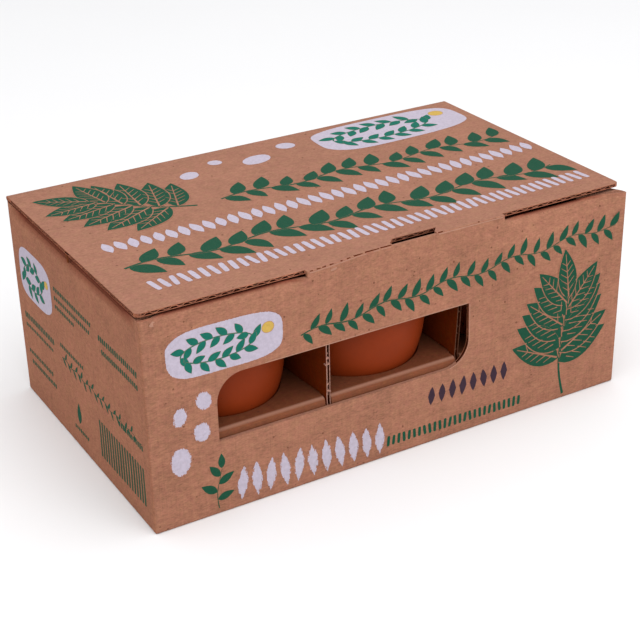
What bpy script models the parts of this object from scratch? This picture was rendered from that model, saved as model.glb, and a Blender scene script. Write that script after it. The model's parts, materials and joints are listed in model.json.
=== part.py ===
"""Egg carton of thin corrugated board: a shut box with a window, its insert and six eggs.

All places are given as distances from the left wall, the front wall and the table,
and at() turns them into the part's own frame, whose origin is the middle of the base.
"""
import math

import bmesh
import bpy
from mathutils import Euler, Matrix, Vector

# Outer size of the carton, in metres
LENGTH = 0.159
DEPTH = 0.096
HEIGHT = 0.066

# Board and the clearance between pieces that touch
BOARD = 0.0013
CLEARANCE = 0.00035
FOLD_RADIUS = 0.0011

# Points closer than this count as one, and edges sharper than this, in radians, as folds
SAME_PLACE = 1e-6
SHARP_ANGLE = 1.0

# The front wall's top is drawn back where the lid is joined to it
LEAN_DEPTH = 0.0027
LEAN_START_HEIGHT = 0.033
LEAN_BEGINS = 0.047
LEAN_FULL = 0.074
LEAN_ENDS = 0.151
LEAN_COLUMNS = (0.047, 0.054, 0.060, 0.067, 0.074, 0.115, 0.151, 0.155)
LEAN_ROWS = (0.033, 0.042, 0.050, 0.057, 0.0625)

# Window in the front wall
WINDOW_LEFT = 0.0206
WINDOW_RIGHT = 0.1022
WINDOW_BOTTOM = 0.0228
WINDOW_TOP = 0.0423
WINDOW_RADIUS = 0.0080
ARC_STEPS = 8

# Lid seam: a raw cut edge on both sides of the two joined stretches
SEAM_GAP = 0.0004
LEFT_CUT_END = 0.0490
LEFT_CUT_SETBACK = 0.0016
SLOT_LEFT = 0.0774
SLOT_RIGHT = 0.0922
SLOT_SETBACK = 0.0062
RIGHT_CUT_START = 0.1155
RIGHT_CUT_SETBACK = 0.0041
NICK_FROM_FRONT = 0.048
NICK_WIDTH = 0.002
OVERCUT = 0.002

# Dust flaps: the side walls' tops, folded in under the lid with tapered ends
FLAP_REACH = 0.014
FLAP_TAPER = 0.0045
FLAP_ROOT = 0.0010
FLAP_CORNER = 0.0080

# Insert: a shelf with folded flanges
SHELF_TOP = 0.0252
INSERT_FOLD_RADIUS = 0.0018
FOLD_STEPS = 4
HOLE_CLEARANCE = 0.0005
HOLE_STEPS = 40

# Dividers, standing in slots at the shelf's two long folds
DIVIDER_TOP = 0.0638
TAB_BOTTOM = 0.0226
TAB_DEPTH = 0.0035
SLOT_PLAY = 0.0005
LEFT_DIVIDER = 0.0549
LEFT_DIVIDER_BOW = 0.0010
BOW_CENTRE = 0.024
BOW_WIDTH = 0.012
FRONT_KICK = 0.0008
FRONT_KICK_WIDTH = 0.006
RIGHT_DIVIDER = 0.0997
RIGHT_DIVIDER_TILT = 0.07
DIVIDER_COLUMNS = 14
DIVIDER_ROWS = 5

# Eggs, pointed end down
EGG_SEGMENTS = 26
EGG_RINGS = 15
EGG_TAPER = 0.05
UPPER_PART = 0.45

# Each egg's place from the left and from the front, width, height, widest level, tilt in degrees
EGGS = {
    "egg_1": (0.0318, 0.0258, 0.0414, 0.0560, 0.0368, 1.5, -1.0),
    "egg_2": (0.0773, 0.0256, 0.0444, 0.0575, 0.0376, 0.5, 0.8),
    "egg_3": (0.1243, 0.0255, 0.0434, 0.0570, 0.0372, -1.2, 1.2),
    "egg_4": (0.0310, 0.0706, 0.0436, 0.0572, 0.0374, -0.8, -1.2),
    "egg_5": (0.0774, 0.0712, 0.0424, 0.0562, 0.0368, 1.0, 0.6),
    "egg_6": (0.1248, 0.0704, 0.0438, 0.0578, 0.0377, 0.6, -0.9),
}

# Colours, linear
BOARD_COLOUR = (0.38, 0.19, 0.11, 1.0)
INSERT_COLOUR = (0.36, 0.18, 0.10, 1.0)
EGG_COLOUR = (0.42, 0.14, 0.06, 1.0)


def at(from_left, from_front, height):
    """A point in the part's frame from its distances to the left wall, front wall and table."""
    return Vector((from_left - LENGTH / 2, from_front - DEPTH / 2, height))


def smooth(value):
    """An S-shaped step from 0 to 1."""
    value = min(max(value, 0.0), 1.0)
    return value * value * (3 - 2 * value)


def lean(from_left, height):
    """How far the front wall is drawn back at a place."""
    rise = smooth((from_left - LEAN_BEGINS) / (LEAN_FULL - LEAN_BEGINS))
    fall = smooth((LENGTH - from_left) / (LENGTH - LEAN_ENDS))
    up = max(height - LEAN_START_HEIGHT, 0.0) / (HEIGHT - LEAN_START_HEIGHT)
    return LEAN_DEPTH * rise * fall * up * up


def clear_scene():
    for item in list(bpy.data.objects):
        bpy.data.objects.remove(item, do_unlink=True)


def make_collection(name):
    group = bpy.data.collections.new(name)
    bpy.context.scene.collection.children.link(group)
    return group


def make_material(name, colour, roughness):
    finish = bpy.data.materials.new(name)
    finish.use_nodes = True
    shader = finish.node_tree.nodes["Principled BSDF"]
    shader.inputs["Base Color"].default_value = colour
    shader.inputs["Roughness"].default_value = roughness
    shader.inputs["Metallic"].default_value = 0.0
    return finish


def object_from(bm, name, group, finish=None):
    """Turn a bmesh into a named object of a collection."""
    mesh = bpy.data.meshes.new(name)
    bmesh.ops.recalc_face_normals(bm, faces=bm.faces)
    bm.to_mesh(mesh)
    bm.free()
    made = bpy.data.objects.new(name, mesh)
    group.objects.link(made)
    if finish:
        mesh.materials.append(finish)
    return made


def as_cutter(piece):
    piece.hide_render = True
    piece.display_type = "WIRE"
    return piece


def cut(piece, cutter, operation="DIFFERENCE"):
    step = piece.modifiers.new(operation.lower() + " " + cutter.name, "BOOLEAN")
    step.operation = operation
    step.solver = "EXACT"
    step.object = cutter


def box_mesh(low, high):
    """A closed box between two corners."""
    bm = bmesh.new()
    centre = (low + high) / 2
    size = high - low
    placing = Matrix.Translation(centre) @ Matrix.Diagonal((*size, 1.0))
    bmesh.ops.create_cube(bm, size=1.0, matrix=placing)
    return bm


def box_cutter(name, low, high, group):
    return as_cutter(object_from(box_mesh(low, high), name, group))


def prism(name, outline, low, high, group, along="Z"):
    """A guide that runs along Z or Y between two places, from an outline in the XY or XZ plane."""
    curve = bpy.data.curves.new(name, "CURVE")
    curve.dimensions = "2D"
    curve.fill_mode = "BOTH"
    curve.extrude = (high - low) / 2
    spline = curve.splines.new("POLY")
    spline.points.add(len(outline) - 1)
    for point, (first, second) in zip(spline.points, outline):
        point.co = (first, second, 0.0, 1.0)
    spline.use_cyclic_u = True
    guide = bpy.data.objects.new(name + " outline", curve)
    middle = (low + high) / 2
    if along == "Y":
        guide.rotation_euler = (math.pi / 2, 0.0, 0.0)
        guide.location = (0.0, middle, 0.0)
    else:
        guide.location = (0.0, 0.0, middle)
    group.objects.link(guide)
    bpy.context.view_layer.update()
    evaluated = guide.evaluated_get(bpy.context.evaluated_depsgraph_get())
    bm = bmesh.new()
    bm.from_mesh(bpy.data.meshes.new_from_object(evaluated))
    bm.transform(guide.matrix_world)
    bmesh.ops.remove_doubles(bm, verts=bm.verts, dist=SAME_PLACE)
    bpy.data.objects.remove(guide, do_unlink=True)
    return as_cutter(object_from(bm, name, group))


def window_outline():
    """Square at the upper right and the lower left, round at the two other corners."""
    low = at(WINDOW_LEFT, 0.0, WINDOW_BOTTOM)
    high = at(WINDOW_RIGHT, 0.0, WINDOW_TOP)
    outline = [(low.x, low.z)]
    for step in range(ARC_STEPS + 1):
        angle = -math.pi / 2 + step * math.pi / 2 / ARC_STEPS
        outline.append((high.x - WINDOW_RADIUS + WINDOW_RADIUS * math.cos(angle),
                        low.z + WINDOW_RADIUS + WINDOW_RADIUS * math.sin(angle)))
    outline.append((high.x, high.z))
    for step in range(ARC_STEPS + 1):
        angle = math.pi / 2 + step * math.pi / 2 / ARC_STEPS
        outline.append((low.x + WINDOW_RADIUS + WINDOW_RADIUS * math.cos(angle),
                        high.z - WINDOW_RADIUS + WINDOW_RADIUS * math.sin(angle)))
    return outline


def is_folded(edge, low, high):
    """True for the four upright edges, the base's edges and the lid's back edge."""
    first, second = (vertex.co for vertex in edge.verts)
    middle = (first + second) / 2
    upright = abs(first.z - second.z) > SAME_PLACE
    at_base = abs(middle.z - low.z) < SAME_PLACE
    at_back = abs(middle.y - high.y) < SAME_PLACE
    return upright or at_base or (at_back and abs(first.x - second.x) > SAME_PLACE)


def leaning_block(inset, fold_radius):
    """The carton's outer or inner block, with the front drawn back at the top."""
    low = at(inset, inset, inset)
    high = at(LENGTH - inset, DEPTH - inset, HEIGHT - inset)
    bm = box_mesh(low, high)
    for column in LEAN_COLUMNS:
        geometry = bm.verts[:] + bm.edges[:] + bm.faces[:]
        plane = at(column, 0.0, 0.0)
        bmesh.ops.bisect_plane(bm, geom=geometry, plane_co=plane, plane_no=(1, 0, 0))
    for row in LEAN_ROWS:
        geometry = bm.verts[:] + bm.edges[:] + bm.faces[:]
        plane = at(0.0, 0.0, row)
        bmesh.ops.bisect_plane(bm, geom=geometry, plane_co=plane, plane_no=(0, 0, 1))
    for vertex in bm.verts:
        if abs(vertex.co.y - low.y) < SAME_PLACE:
            vertex.co.y += lean(vertex.co.x + LENGTH / 2, vertex.co.z)
    if fold_radius:
        sharp = [edge for edge in bm.edges if edge.calc_face_angle(0.0) > SHARP_ANGLE]
        folded = [edge for edge in sharp if is_folded(edge, low, high)]
        bmesh.ops.bevel(bm, geom=folded, offset=fold_radius, segments=2, profile=0.5,
                        affect="EDGES", clamp_overlap=True)
    bmesh.ops.triangulate(bm, faces=bm.faces)
    return bm


def flap_edge(side, reach, back):
    """Points along a dust flap's front or back end, at these distances from its side wall."""
    edge = []
    for inward in reach:
        from_left = inward if side == "left" else LENGTH - inward
        inset = BOARD + CLEARANCE + FLAP_TAPER * max(inward - FLAP_CORNER, 0.0) / (FLAP_REACH - FLAP_CORNER)
        from_front = DEPTH - inset if back else inset + lean(from_left, HEIGHT)
        edge.append(at(from_left, from_front, 0.0).to_2d())
    return edge


def make_flap(side, group):
    """One dust flap, a tapered plate that roots in a side wall just under the lid."""
    plain = (FLAP_ROOT, FLAP_CORNER, FLAP_REACH)
    leaning = (FLAP_ROOT, 2 * BOARD, FLAP_CORNER / 2, FLAP_CORNER, FLAP_REACH)
    front = flap_edge(side, plain if side == "left" else leaning, False)
    back = flap_edge(side, plain, True)
    bottom = HEIGHT - 2 * BOARD - SEAM_GAP
    return prism(side + " flap", front + back[::-1], bottom, bottom + BOARD + SEAM_GAP / 2, group)


def seam_cutters(group):
    """Boxes that free the lid's raw edges from the walls and flaps below them."""
    top = HEIGHT + OVERCUT
    under_lid = HEIGHT - BOARD
    wall_top = under_lid - SEAM_GAP
    through = RIGHT_CUT_SETBACK + 2 * BOARD
    left = (-OVERCUT, LEFT_CUT_END)
    right = (RIGHT_CUT_START, LENGTH + OVERCUT)
    slot = (SLOT_LEFT, SLOT_RIGHT)
    made = []
    raw = (("left", left, LEFT_CUT_SETBACK),
           ("right", right, RIGHT_CUT_SETBACK),
           ("slot", slot, SLOT_SETBACK))
    for name, (start, end), setback in raw:
        low = at(start, -OVERCUT, wall_top)
        made.append(box_cutter(name + " edge cutter", low, at(end, setback, top), group))
        deep = max(through, setback)
        made.append(box_cutter(name + " seam cutter", low, at(end, deep, under_lid), group))
    clear = FLAP_REACH + OVERCUT
    sides = (("left side", -OVERCUT, clear), ("right side", LENGTH - clear, LENGTH + OVERCUT))
    for name, outer, inner in sides:
        stretches = ((-OVERCUT, NICK_FROM_FRONT), (NICK_FROM_FRONT + NICK_WIDTH, DEPTH - BOARD))
        for number, (start, end) in enumerate(stretches, 1):
            low = at(outer, start, wall_top)
            high = at(inner, end, under_lid)
            made.append(box_cutter("%s seam cutter %d" % (name, number), low, high, group))
    return made


def make_carton(parts, cutters, finish):
    """Walls, base, lid and window: one folded blank, so one solid."""
    carton = object_from(leaning_block(0.0, FOLD_RADIUS), "carton", parts, finish)
    hollow = as_cutter(object_from(leaning_block(BOARD, 0.0), "hollow cutter", cutters))
    cut(carton, hollow)
    front = at(0.0, 0.0, 0.0).y
    window = prism("window cutter", window_outline(), front - OVERCUT, front + 2 * BOARD, cutters, "Y")
    cut(carton, window)
    for side in ("left", "right"):
        cut(carton, make_flap(side, cutters), "UNION")
    for cutter in seam_cutters(cutters):
        cut(carton, cutter)
    return carton


def egg_radius(width, upper, lower, rise):
    """The egg's radius at a level above or below its widest level."""
    level = rise / (upper if rise > 0 else lower)
    return width / 2 * math.sqrt(max(1 - level * level, 0.0)) * (1 + EGG_TAPER * level)


def make_egg(name, parts, finish):
    """A turned egg, its blunt end up, tipped a little to one side."""
    from_left, from_front, width, height, widest, tip_x, tip_y = EGGS[name]
    upper = height * UPPER_PART
    lower = height - upper
    bm = bmesh.new()
    bmesh.ops.create_uvsphere(bm, u_segments=EGG_SEGMENTS, v_segments=EGG_RINGS, radius=1.0)
    for vertex in bm.verts:
        rise = vertex.co.z * (upper if vertex.co.z > 0 else lower)
        around = math.atan2(vertex.co.y, vertex.co.x)
        radius = egg_radius(width, upper, lower, rise)
        vertex.co = (radius * math.cos(around), radius * math.sin(around), rise)
    egg = object_from(bm, name, parts, finish)
    egg.location = at(from_left, from_front, widest)
    egg.rotation_euler = Euler((math.radians(tip_x), math.radians(tip_y), 0.0))
    egg.data.shade_smooth()
    return egg


def insert_profile():
    """The insert's outer line from the foot of one flange over the shelf to the other foot."""
    front = BOARD + CLEARANCE
    back = DEPTH - BOARD - CLEARANCE
    foot = BOARD + CLEARANCE
    radius = INSERT_FOLD_RADIUS
    profile = [(front, foot)]
    for step in range(FOLD_STEPS + 1):
        angle = math.pi - step * math.pi / 2 / FOLD_STEPS
        profile.append((front + radius + radius * math.cos(angle),
                        SHELF_TOP - radius + radius * math.sin(angle)))
    for step in range(FOLD_STEPS + 1):
        angle = math.pi / 2 - step * math.pi / 2 / FOLD_STEPS
        profile.append((back - radius + radius * math.cos(angle),
                        SHELF_TOP - radius + radius * math.sin(angle)))
    profile.append((back, foot))
    return profile


def make_insert(parts, cutters, finish):
    """A shelf with a hole for each egg and a flange folded down along its front and back."""
    start = BOARD + CLEARANCE
    end = LENGTH - BOARD - CLEARANCE
    bm = bmesh.new()
    line = [bm.verts.new(at(start, y, z)) for y, z in insert_profile()]
    edges = [bm.edges.new(pair) for pair in zip(line, line[1:])]
    drawn = bmesh.ops.extrude_edge_only(bm, edges=edges)["geom"]
    moved = [item for item in drawn if isinstance(item, bmesh.types.BMVert)]
    bmesh.ops.translate(bm, verts=moved, vec=(end - start, 0.0, 0.0))
    insert = object_from(bm, "insert", parts, finish)
    if sum(face.normal.z for face in insert.data.polygons) < 0:
        insert.data.flip_normals()
    wall = insert.modifiers.new("board", "SOLIDIFY")
    wall.thickness = BOARD
    wall.offset = -1.0
    wall.use_even_offset = True
    for name, (from_left, from_front, width, height, widest, _, _) in EGGS.items():
        upper = height * UPPER_PART
        radius = egg_radius(width, upper, height - upper, SHELF_TOP - widest) + HOLE_CLEARANCE
        bm = bmesh.new()
        placing = Matrix.Translation(at(from_left, from_front, SHELF_TOP))
        bmesh.ops.create_cone(bm, cap_ends=True, segments=HOLE_STEPS, radius1=radius, radius2=radius,
                              depth=4 * BOARD, matrix=placing)
        cut(insert, as_cutter(object_from(bm, name + " hole cutter", cutters)))
    reach = BOARD + CLEARANCE + TAB_DEPTH + SLOT_PLAY
    lines = (("left", divider_line(LEFT_DIVIDER, True)), ("right", divider_line(RIGHT_DIVIDER, False)))
    for name, centre in lines:
        for side, near, far in (("front", 0.0, reach), ("back", DEPTH - reach, DEPTH)):
            middle = centre((near + far) / 2)
            half = BOARD / 2 + SLOT_PLAY
            low = at(middle - half, near, TAB_BOTTOM - SLOT_PLAY)
            high = at(middle + half, far, SHELF_TOP + OVERCUT)
            cut(insert, box_cutter("%s %s slot cutter" % (name, side), low, high, cutters))
    return insert


def divider_line(place, bowed):
    """A divider's line in plan: the left one is pushed aside by the large egg beside it."""
    def line(from_front):
        if not bowed:
            return place
        bow = LEFT_DIVIDER_BOW * math.exp(-((from_front - BOW_CENTRE) / BOW_WIDTH) ** 2)
        kick = FRONT_KICK * math.exp(-(from_front / FRONT_KICK_WIDTH) ** 2)
        return place - bow + kick
    return line


def make_divider(name, line, tilt, parts, finish):
    """An upright board from front to back, with a tab at each end of its foot."""
    near = BOARD + CLEARANCE
    far = DEPTH - BOARD - CLEARANCE
    foot = SHELF_TOP + CLEARANCE
    inner = [near + TAB_DEPTH + step * (far - near - 2 * TAB_DEPTH) / DIVIDER_COLUMNS
             for step in range(DIVIDER_COLUMNS + 1)]
    columns = [near] + inner + [far]
    rows = [TAB_BOTTOM, foot] + [foot + (DIVIDER_TOP - foot) * step / DIVIDER_ROWS
                                 for step in range(1, DIVIDER_ROWS + 1)]
    bm = bmesh.new()
    grid = bmesh.ops.create_grid(bm, x_segments=len(columns) - 1, y_segments=len(rows) - 1, size=0.5)
    ordered = sorted(grid["verts"], key=lambda vertex: (round(vertex.co.y, 6), round(vertex.co.x, 6)))
    for number, vertex in enumerate(ordered):
        y = columns[number % len(columns)]
        z = rows[number // len(columns)]
        x = line(y) + tilt * (z - foot)
        if y == near:
            y += lean(x, z)
        vertex.co = at(x, y, z)
    gap = [face for face in bm.faces
           if face.calc_center_median().z < foot - CLEARANCE
           and abs(face.calc_center_median().y) < DEPTH / 2 - near - TAB_DEPTH]
    bmesh.ops.delete(bm, geom=gap, context="FACES")
    divider = object_from(bm, name, parts, finish)
    wall = divider.modifiers.new("board", "SOLIDIFY")
    wall.thickness = BOARD
    wall.offset = 0.0
    wall.use_even_offset = True
    return divider


def main():
    clear_scene()
    parts = make_collection("egg_carton")
    cutters = make_collection("cutters")
    board = make_material("kraft board", BOARD_COLOUR, 0.85)
    inner_board = make_material("insert board", INSERT_COLOUR, 0.88)
    shell = make_material("egg shell", EGG_COLOUR, 0.5)
    make_carton(parts, cutters, board)
    make_insert(parts, cutters, inner_board)
    left = divider_line(LEFT_DIVIDER, True)
    right = divider_line(RIGHT_DIVIDER, False)
    make_divider("divider_left", left, 0.0, parts, inner_board)
    make_divider("divider_right", right, RIGHT_DIVIDER_TILT, parts, inner_board)
    for name in EGGS:
        make_egg(name, parts, shell)


main()
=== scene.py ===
"""Looks of the egg carton: corrugated kraft board with printed sprigs, its insert and six eggs.

Places on the carton are distances from its left wall, its front wall and the table,
and at() turns them into the frame's own coordinates. All sizes are in metres.
"""

import json
import math
import random
from contextlib import contextmanager
from functools import partial

import bmesh
import bpy
from bpy.props import FloatProperty, FloatVectorProperty, PointerProperty
from mathutils import Matrix, Vector, noise

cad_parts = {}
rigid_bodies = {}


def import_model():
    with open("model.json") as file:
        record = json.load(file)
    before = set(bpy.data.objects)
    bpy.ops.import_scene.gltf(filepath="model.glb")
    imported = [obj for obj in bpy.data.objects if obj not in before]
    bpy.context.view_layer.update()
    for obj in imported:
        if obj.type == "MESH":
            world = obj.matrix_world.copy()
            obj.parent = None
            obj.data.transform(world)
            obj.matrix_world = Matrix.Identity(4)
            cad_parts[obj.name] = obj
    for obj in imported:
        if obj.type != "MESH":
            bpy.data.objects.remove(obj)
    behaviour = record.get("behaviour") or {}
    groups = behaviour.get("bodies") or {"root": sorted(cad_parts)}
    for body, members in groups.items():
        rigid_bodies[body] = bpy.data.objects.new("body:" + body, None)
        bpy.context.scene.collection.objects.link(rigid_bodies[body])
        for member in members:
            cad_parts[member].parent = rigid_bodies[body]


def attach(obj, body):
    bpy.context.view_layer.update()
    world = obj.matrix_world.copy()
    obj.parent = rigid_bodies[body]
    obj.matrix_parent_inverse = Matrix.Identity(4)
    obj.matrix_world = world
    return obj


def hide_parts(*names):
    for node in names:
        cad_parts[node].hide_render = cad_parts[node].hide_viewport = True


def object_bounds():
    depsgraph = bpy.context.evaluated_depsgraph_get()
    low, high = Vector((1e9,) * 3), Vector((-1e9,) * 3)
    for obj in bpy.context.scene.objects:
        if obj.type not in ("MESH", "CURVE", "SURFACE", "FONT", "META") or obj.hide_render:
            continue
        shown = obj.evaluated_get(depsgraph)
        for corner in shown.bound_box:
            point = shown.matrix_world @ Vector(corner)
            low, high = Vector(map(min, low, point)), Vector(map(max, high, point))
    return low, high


bl_info = {
    "name": "Egg Carton Looks",
    "version": (1, 0, 0),
    "blender": (4, 5, 0),
    "location": "View3D > Sidebar > Egg Carton",
    "description": "Builds a corrugated egg carton with its insert, eggs and print",
    "category": "Object",
}

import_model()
CAD_LOW, CAD_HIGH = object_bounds()
EXTENT = CAD_HIGH - CAD_LOW
LENGTH, DEPTH, HEIGHT = EXTENT

# Seam between the lid and the front wall, from left to right: cut, joined, slot, joined, cut
LEFT_CUT_END = 0.0490
SLOT_LEFT = 0.0774
SLOT_RIGHT = 0.0922
RIGHT_CUT_START = 0.1155
LEFT_CUT_SETBACK = 0.0016
SLOT_SETBACK = 0.0063
SLOT_DROP = 0.0003
RIGHT_CUT_SETBACK = 0.0041
WALL_TOP_DROP = 0.00185
WALL_TOP = HEIGHT - WALL_TOP_DROP
SETBACKS = {"left cut": LEFT_CUT_SETBACK, "slot": SLOT_SETBACK, "right cut": RIGHT_CUT_SETBACK,
            "joined": 0.0}
CUTS = ("left cut", "right cut")

# The front wall's top is drawn back between these places
LEAN_DEPTH = 0.0027
LEAN_START_HEIGHT = 0.033
LEAN_BEGINS = 0.047
LEAN_FULL = 0.074
LEAN_ENDS = 0.151

# How far the walls' tops tuck in and sink under the lid's raw edges, over what height, how round they are,
# and how far down the painted shade under the lid reaches at the front and at the sides
FRONT_TUCK = 0.0018
SIDE_TUCK = 0.0010
SIDE_DROP = 0.0011
RIGHT_CUT_DROP = 0.0003
TUCK_HEIGHT = 0.0042
TOP_ROUNDING = 0.0008
SHADE_DEPTH = 0.0011
SIDE_SHADE_DEPTH = 0.0024

# The tuck keeps clear of the corners and of the cuts' inner ends, and grows over these lengths
TUCK_FROM_LEFT = 0.003
TUCK_FROM_RIGHT = 0.004
TUCK_FROM_CUT = 0.001
TUCK_EASE = 0.005
CORNER_EASE = 0.010

# Ripples of the board, and the strips along a panel's edges that stay straight
RIPPLE = 0.00022
RIPPLES_PER_METRE = 38.0
EDGE_STRIP = 0.012
LID_EDGE_STRIP = 0.04

# Each panel: its two axes, the way that it moves, the seed of its ripples, how far its middle moves
PANELS = {
    "front": ((0, 2), (0, 1, 0), 1.0, 0.0001),
    "lid": ((0, 1), (0, 0, 1), 2.0, -0.00012),
    "left": ((1, 2), (1, 0, 0), 3.0, 0.0002),
    "right": ((1, 2), (-1, 0, 0), 4.0, 0.0002),
    "back": ((0, 2), (0, -1, 0), 5.0, 0.0002),
}
ON_PANEL = 0.0003

# Short cuts along the two joined stretches of the lid's crease: start, end
PERFORATIONS = ((0.0498, 0.0508), (0.0520, 0.0533), (0.0538, 0.0550), (0.0563, 0.0576),
                (0.0600, 0.0607), (0.0622, 0.0634), (0.0646, 0.0676), (0.0684, 0.0731),
                (0.0735, 0.0771), (0.0926, 0.0942), (0.1062, 0.1068))

# How far the slot's two ends slant, from the crease to the lid's raw edge
SLOT_SLANT = (0.0022, 0.0020)

# The lid's front corners, and how closely the strip behind the crease is pressed together
LID_CORNER = 0.0014
CREASE_PRESS = 0.25

# Seams of the base flaps and the depth of the cuts along the crease
BASE_FLAP = 0.040
SEAM_MARGIN = 0.004
SEAM_WIDTH = 0.0004
SEAM_DEPTH = 0.0009
PERFORATION_DEPTH = 0.00021
PERFORATION_REACH = 0.0006
SEAM_OVERRUN = 0.001

# How far in the cutters of the window, the insert's holes and its slots reach
WINDOW_CUT = (-0.002, 0.004)
HOLE_CUT = 0.006
SLOT_OVERRUN = 0.001
SLOT_CUT_TOP = 0.03

# Torn bits along the lid's left edge: place from the front, top, length
TORN_BITS = ((0.0130, 0.0652, 0.0006), (0.0195, 0.0652, 0.0008), (0.0478, 0.0648, 0.0026),
             (0.0484, 0.0648, 0.0015))
TORN_DEPTH = 0.0003
TORN_WIDTHS = (0.0004, 0.0007)
TORN_TURN = 0.5

# Dust flaps under the lid
FLAP_REACH = 0.014
FLAP_START = 0.0024
FLAP_TAPER = 0.0045
FLAP_DROOP = 0.0008

# Grid on the board's skin, fine enough for its gentle bends, and what counts as one place or one way
GRID_STEP = 0.004
GRID_CLEAR = 0.0011
SAME_PLACE = 1e-5
NEAR_FOLD = 0.0002
FACING = 0.5

# Raw edges stay shut near the carton's corners, at its top and along slanted cuts
SHUT_CORNER = 0.003
SHUT_TOP = 0.0015
SLANTED = 0.2
LID_EDGE_PLAY = 0.0004
ABOVE_WINDOW = (HEIGHT + LEAN_START_HEIGHT) / 2

# Wave of the board's inner sheet, its share of a groove's depth, and its two lengths at the left edge
WAVE_STEPS = 16
SHEET = 0.00020
SWING = 0.00025
SINK = 0.00002
WAVE_STEEPNESS = 2.4
SHEET_RECESS = 0.00012
SHEET_SHARE = 0.8
LEFT_EDGE_SHEETS = ((0.004, 0.0465), (0.0492, DEPTH - 0.004))

# Unevenness along a raw edge: how much, and how close together
SHEET_RAGGED = (0.00015, 900.0)
WAVE_SHIFT = (1.1, 110.0)
WAVE_UNEVEN = (0.00006, 400.0)
DIVIDER_RAGGED = (0.00012, 260.0)
WEB_RAGGED = (0.00012, 500.0)

# Random draws: one seed for each group of pieces
EDGE_SEED = 3
PRINT_SEED = 11

# Insert and dividers, the painted highlight along the insert's front fold, and how much paler the flange
# below it is
RIDGE_PLACE = 0.55
RIDGE_WIDTH = 0.0009
RIDGE_HIGHLIGHT = 0.68
FLANGE_PALING = 0.15
INSERT_EDGE = 0.00165
SHELF_TOP = 0.0252
TAB_BOTTOM = 0.0226
DIVIDER_TOP = 0.0638
LEFT_DIVIDER = 0.0549
RIGHT_DIVIDER = 0.0997
RIGHT_DIVIDER_TILT = 0.07
DIVIDER_GRID = (22, 8)
DIVIDER_EASE = 0.020
FOOT_GAP = 0.00035

# The egg beside the left divider pushes it aside here: place and length of the bow, length of the kick
BOW_PLACE = 0.024
BOW_LENGTH = 0.012
KICK_LENGTH = 0.006

# The wavy sheet in a divider's front edge, and the torn bits across it
WEB_HALF = 0.00008
WEB_DEPTHS = (0.0004, 0.0016)
WEB_TOP_GAP = 0.001
BITS = 9
BIT_SPACING = 0.0040
BIT_CORNER = (0.00038, 0.00025)
BIT_WIDTHS = (0.0004, 0.00072)
BIT_DEPTH = 0.0006
BIT_HEIGHTS = (0.0002, 0.0006)

# Fibres torn out along the left divider's front edge: height, reach to the left and right, size, slant
DIVIDER_FIBRES = ((0.0271, 0.0005, 0.0007, 0.0006, -0.55), (0.0290, 0.0006, 0.0000, 0.0004, 0.30),
                  (0.0352, 0.0008, 0.0005, 0.0005, 0.15), (0.0375, 0.0006, 0.0002, 0.0004, -0.30))
FIBRE_DEPTHS = (0.0001, 0.0009)

# Eggs: place from left and front, width, height, height of the widest level, two tips in degrees
EGGS = {
    "egg_1": (0.0318, 0.0258, 0.0414, 0.0560, 0.0368, 1.5, -1.0),
    "egg_2": (0.0773, 0.0256, 0.0444, 0.0575, 0.0376, 0.5, 0.8),
    "egg_3": (0.1243, 0.0255, 0.0434, 0.0570, 0.0372, -1.2, 1.2),
    "egg_4": (0.0310, 0.0706, 0.0436, 0.0572, 0.0374, -0.8, -1.2),
    "egg_5": (0.0774, 0.0712, 0.0424, 0.0562, 0.0368, 1.0, 0.6),
    "egg_6": (0.1248, 0.0704, 0.0438, 0.0578, 0.0377, 0.6, -0.9),
}

# Bare board: its colour among the finishes, contrast, strength of the flute lines, relief
BOARDS = {
    "outside": ("kraft", 1.0, 1.0, 0.35),
    "inside": ("kraft_inside", 0.9, 2.5, 0.35),
    "insert": ("kraft_inside", 0.9, 2.5, 0.35),
    "divider": ("kraft_divider", 0.9, 2.5, 0.35),
    "raw_edge": ("raw_edge", 1.7, 0.0, 0.9),
    "raw_inside": ("raw_inside", 1.7, 0.0, 0.9),
    "raw_shaded": ("raw_shaded", 1.7, 0.0, 0.9),
    "hollow": ("hollow", 0.8, 0.0, 0.2),
}

# Inks, and pale board for rubbed wear and painted highlights: material, colour among the finishes, how
# feathered and how thin it is
INKS = {
    "green": ("ink_green", "green", 0.25, 0.30),
    "white": ("ink_white", "white", 0.90, 0.45),
    "brushed": ("ink_white_brushed", "white", 1.70, 0.70),
    "teal": ("ink_teal", "teal", 0.20, 0.15),
    "yellow": ("ink_yellow", "yellow", 0.40, 0.20),
    "dark": ("ink_dark", "aubergine", 0.25, 0.30),
    "worn": ("kraft_worn", "worn", 1.10, 0.80),
}
PAPER_GLOSS = 0.08
SHELL_GLOSS = 0.09
PAPER_DEPTH = 0.00012
SHELL_DEPTH = 0.00008

# Print: marks in a row by their share of the spacing, corners and fullness; heights above the board
MARKS = {"bar": (0.62, 20, 4.0), "diamond": (0.70, 8, 1.3)}
UNDER_INK = 0.00002
ON_BOARD = 0.00004
ON_INK = 0.00007
INK_THICKNESS = 0.00007
INK_STEP = 0.000003

# An oval's uneven edge: how much, and how close together
OVAL_UNEVEN = (0.035, 1.6)

# Stretches of the crease with rubbed wear and a painted highlight on the fold's edge, in mm: their starts
# and ends, height, and width at each end
CREASE_RUB_AND_HIGHLIGHT_STRETCHES = ((49.6, 76.8), (92.8, 115.0))
CREASE_RUB_AND_HIGHLIGHT_HEIGHT = 65.35
CREASE_RUB_AND_HIGHLIGHT_WIDTHS = (0.45, 0.35)

# Plain stripes on the left side, in mm: middle of the first, spacing, half a width, lower end, upper end
STRIPES = (60.5, 1.75, 0.42, 6.2, 18.2)
STRIPE_COUNT = 18

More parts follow.
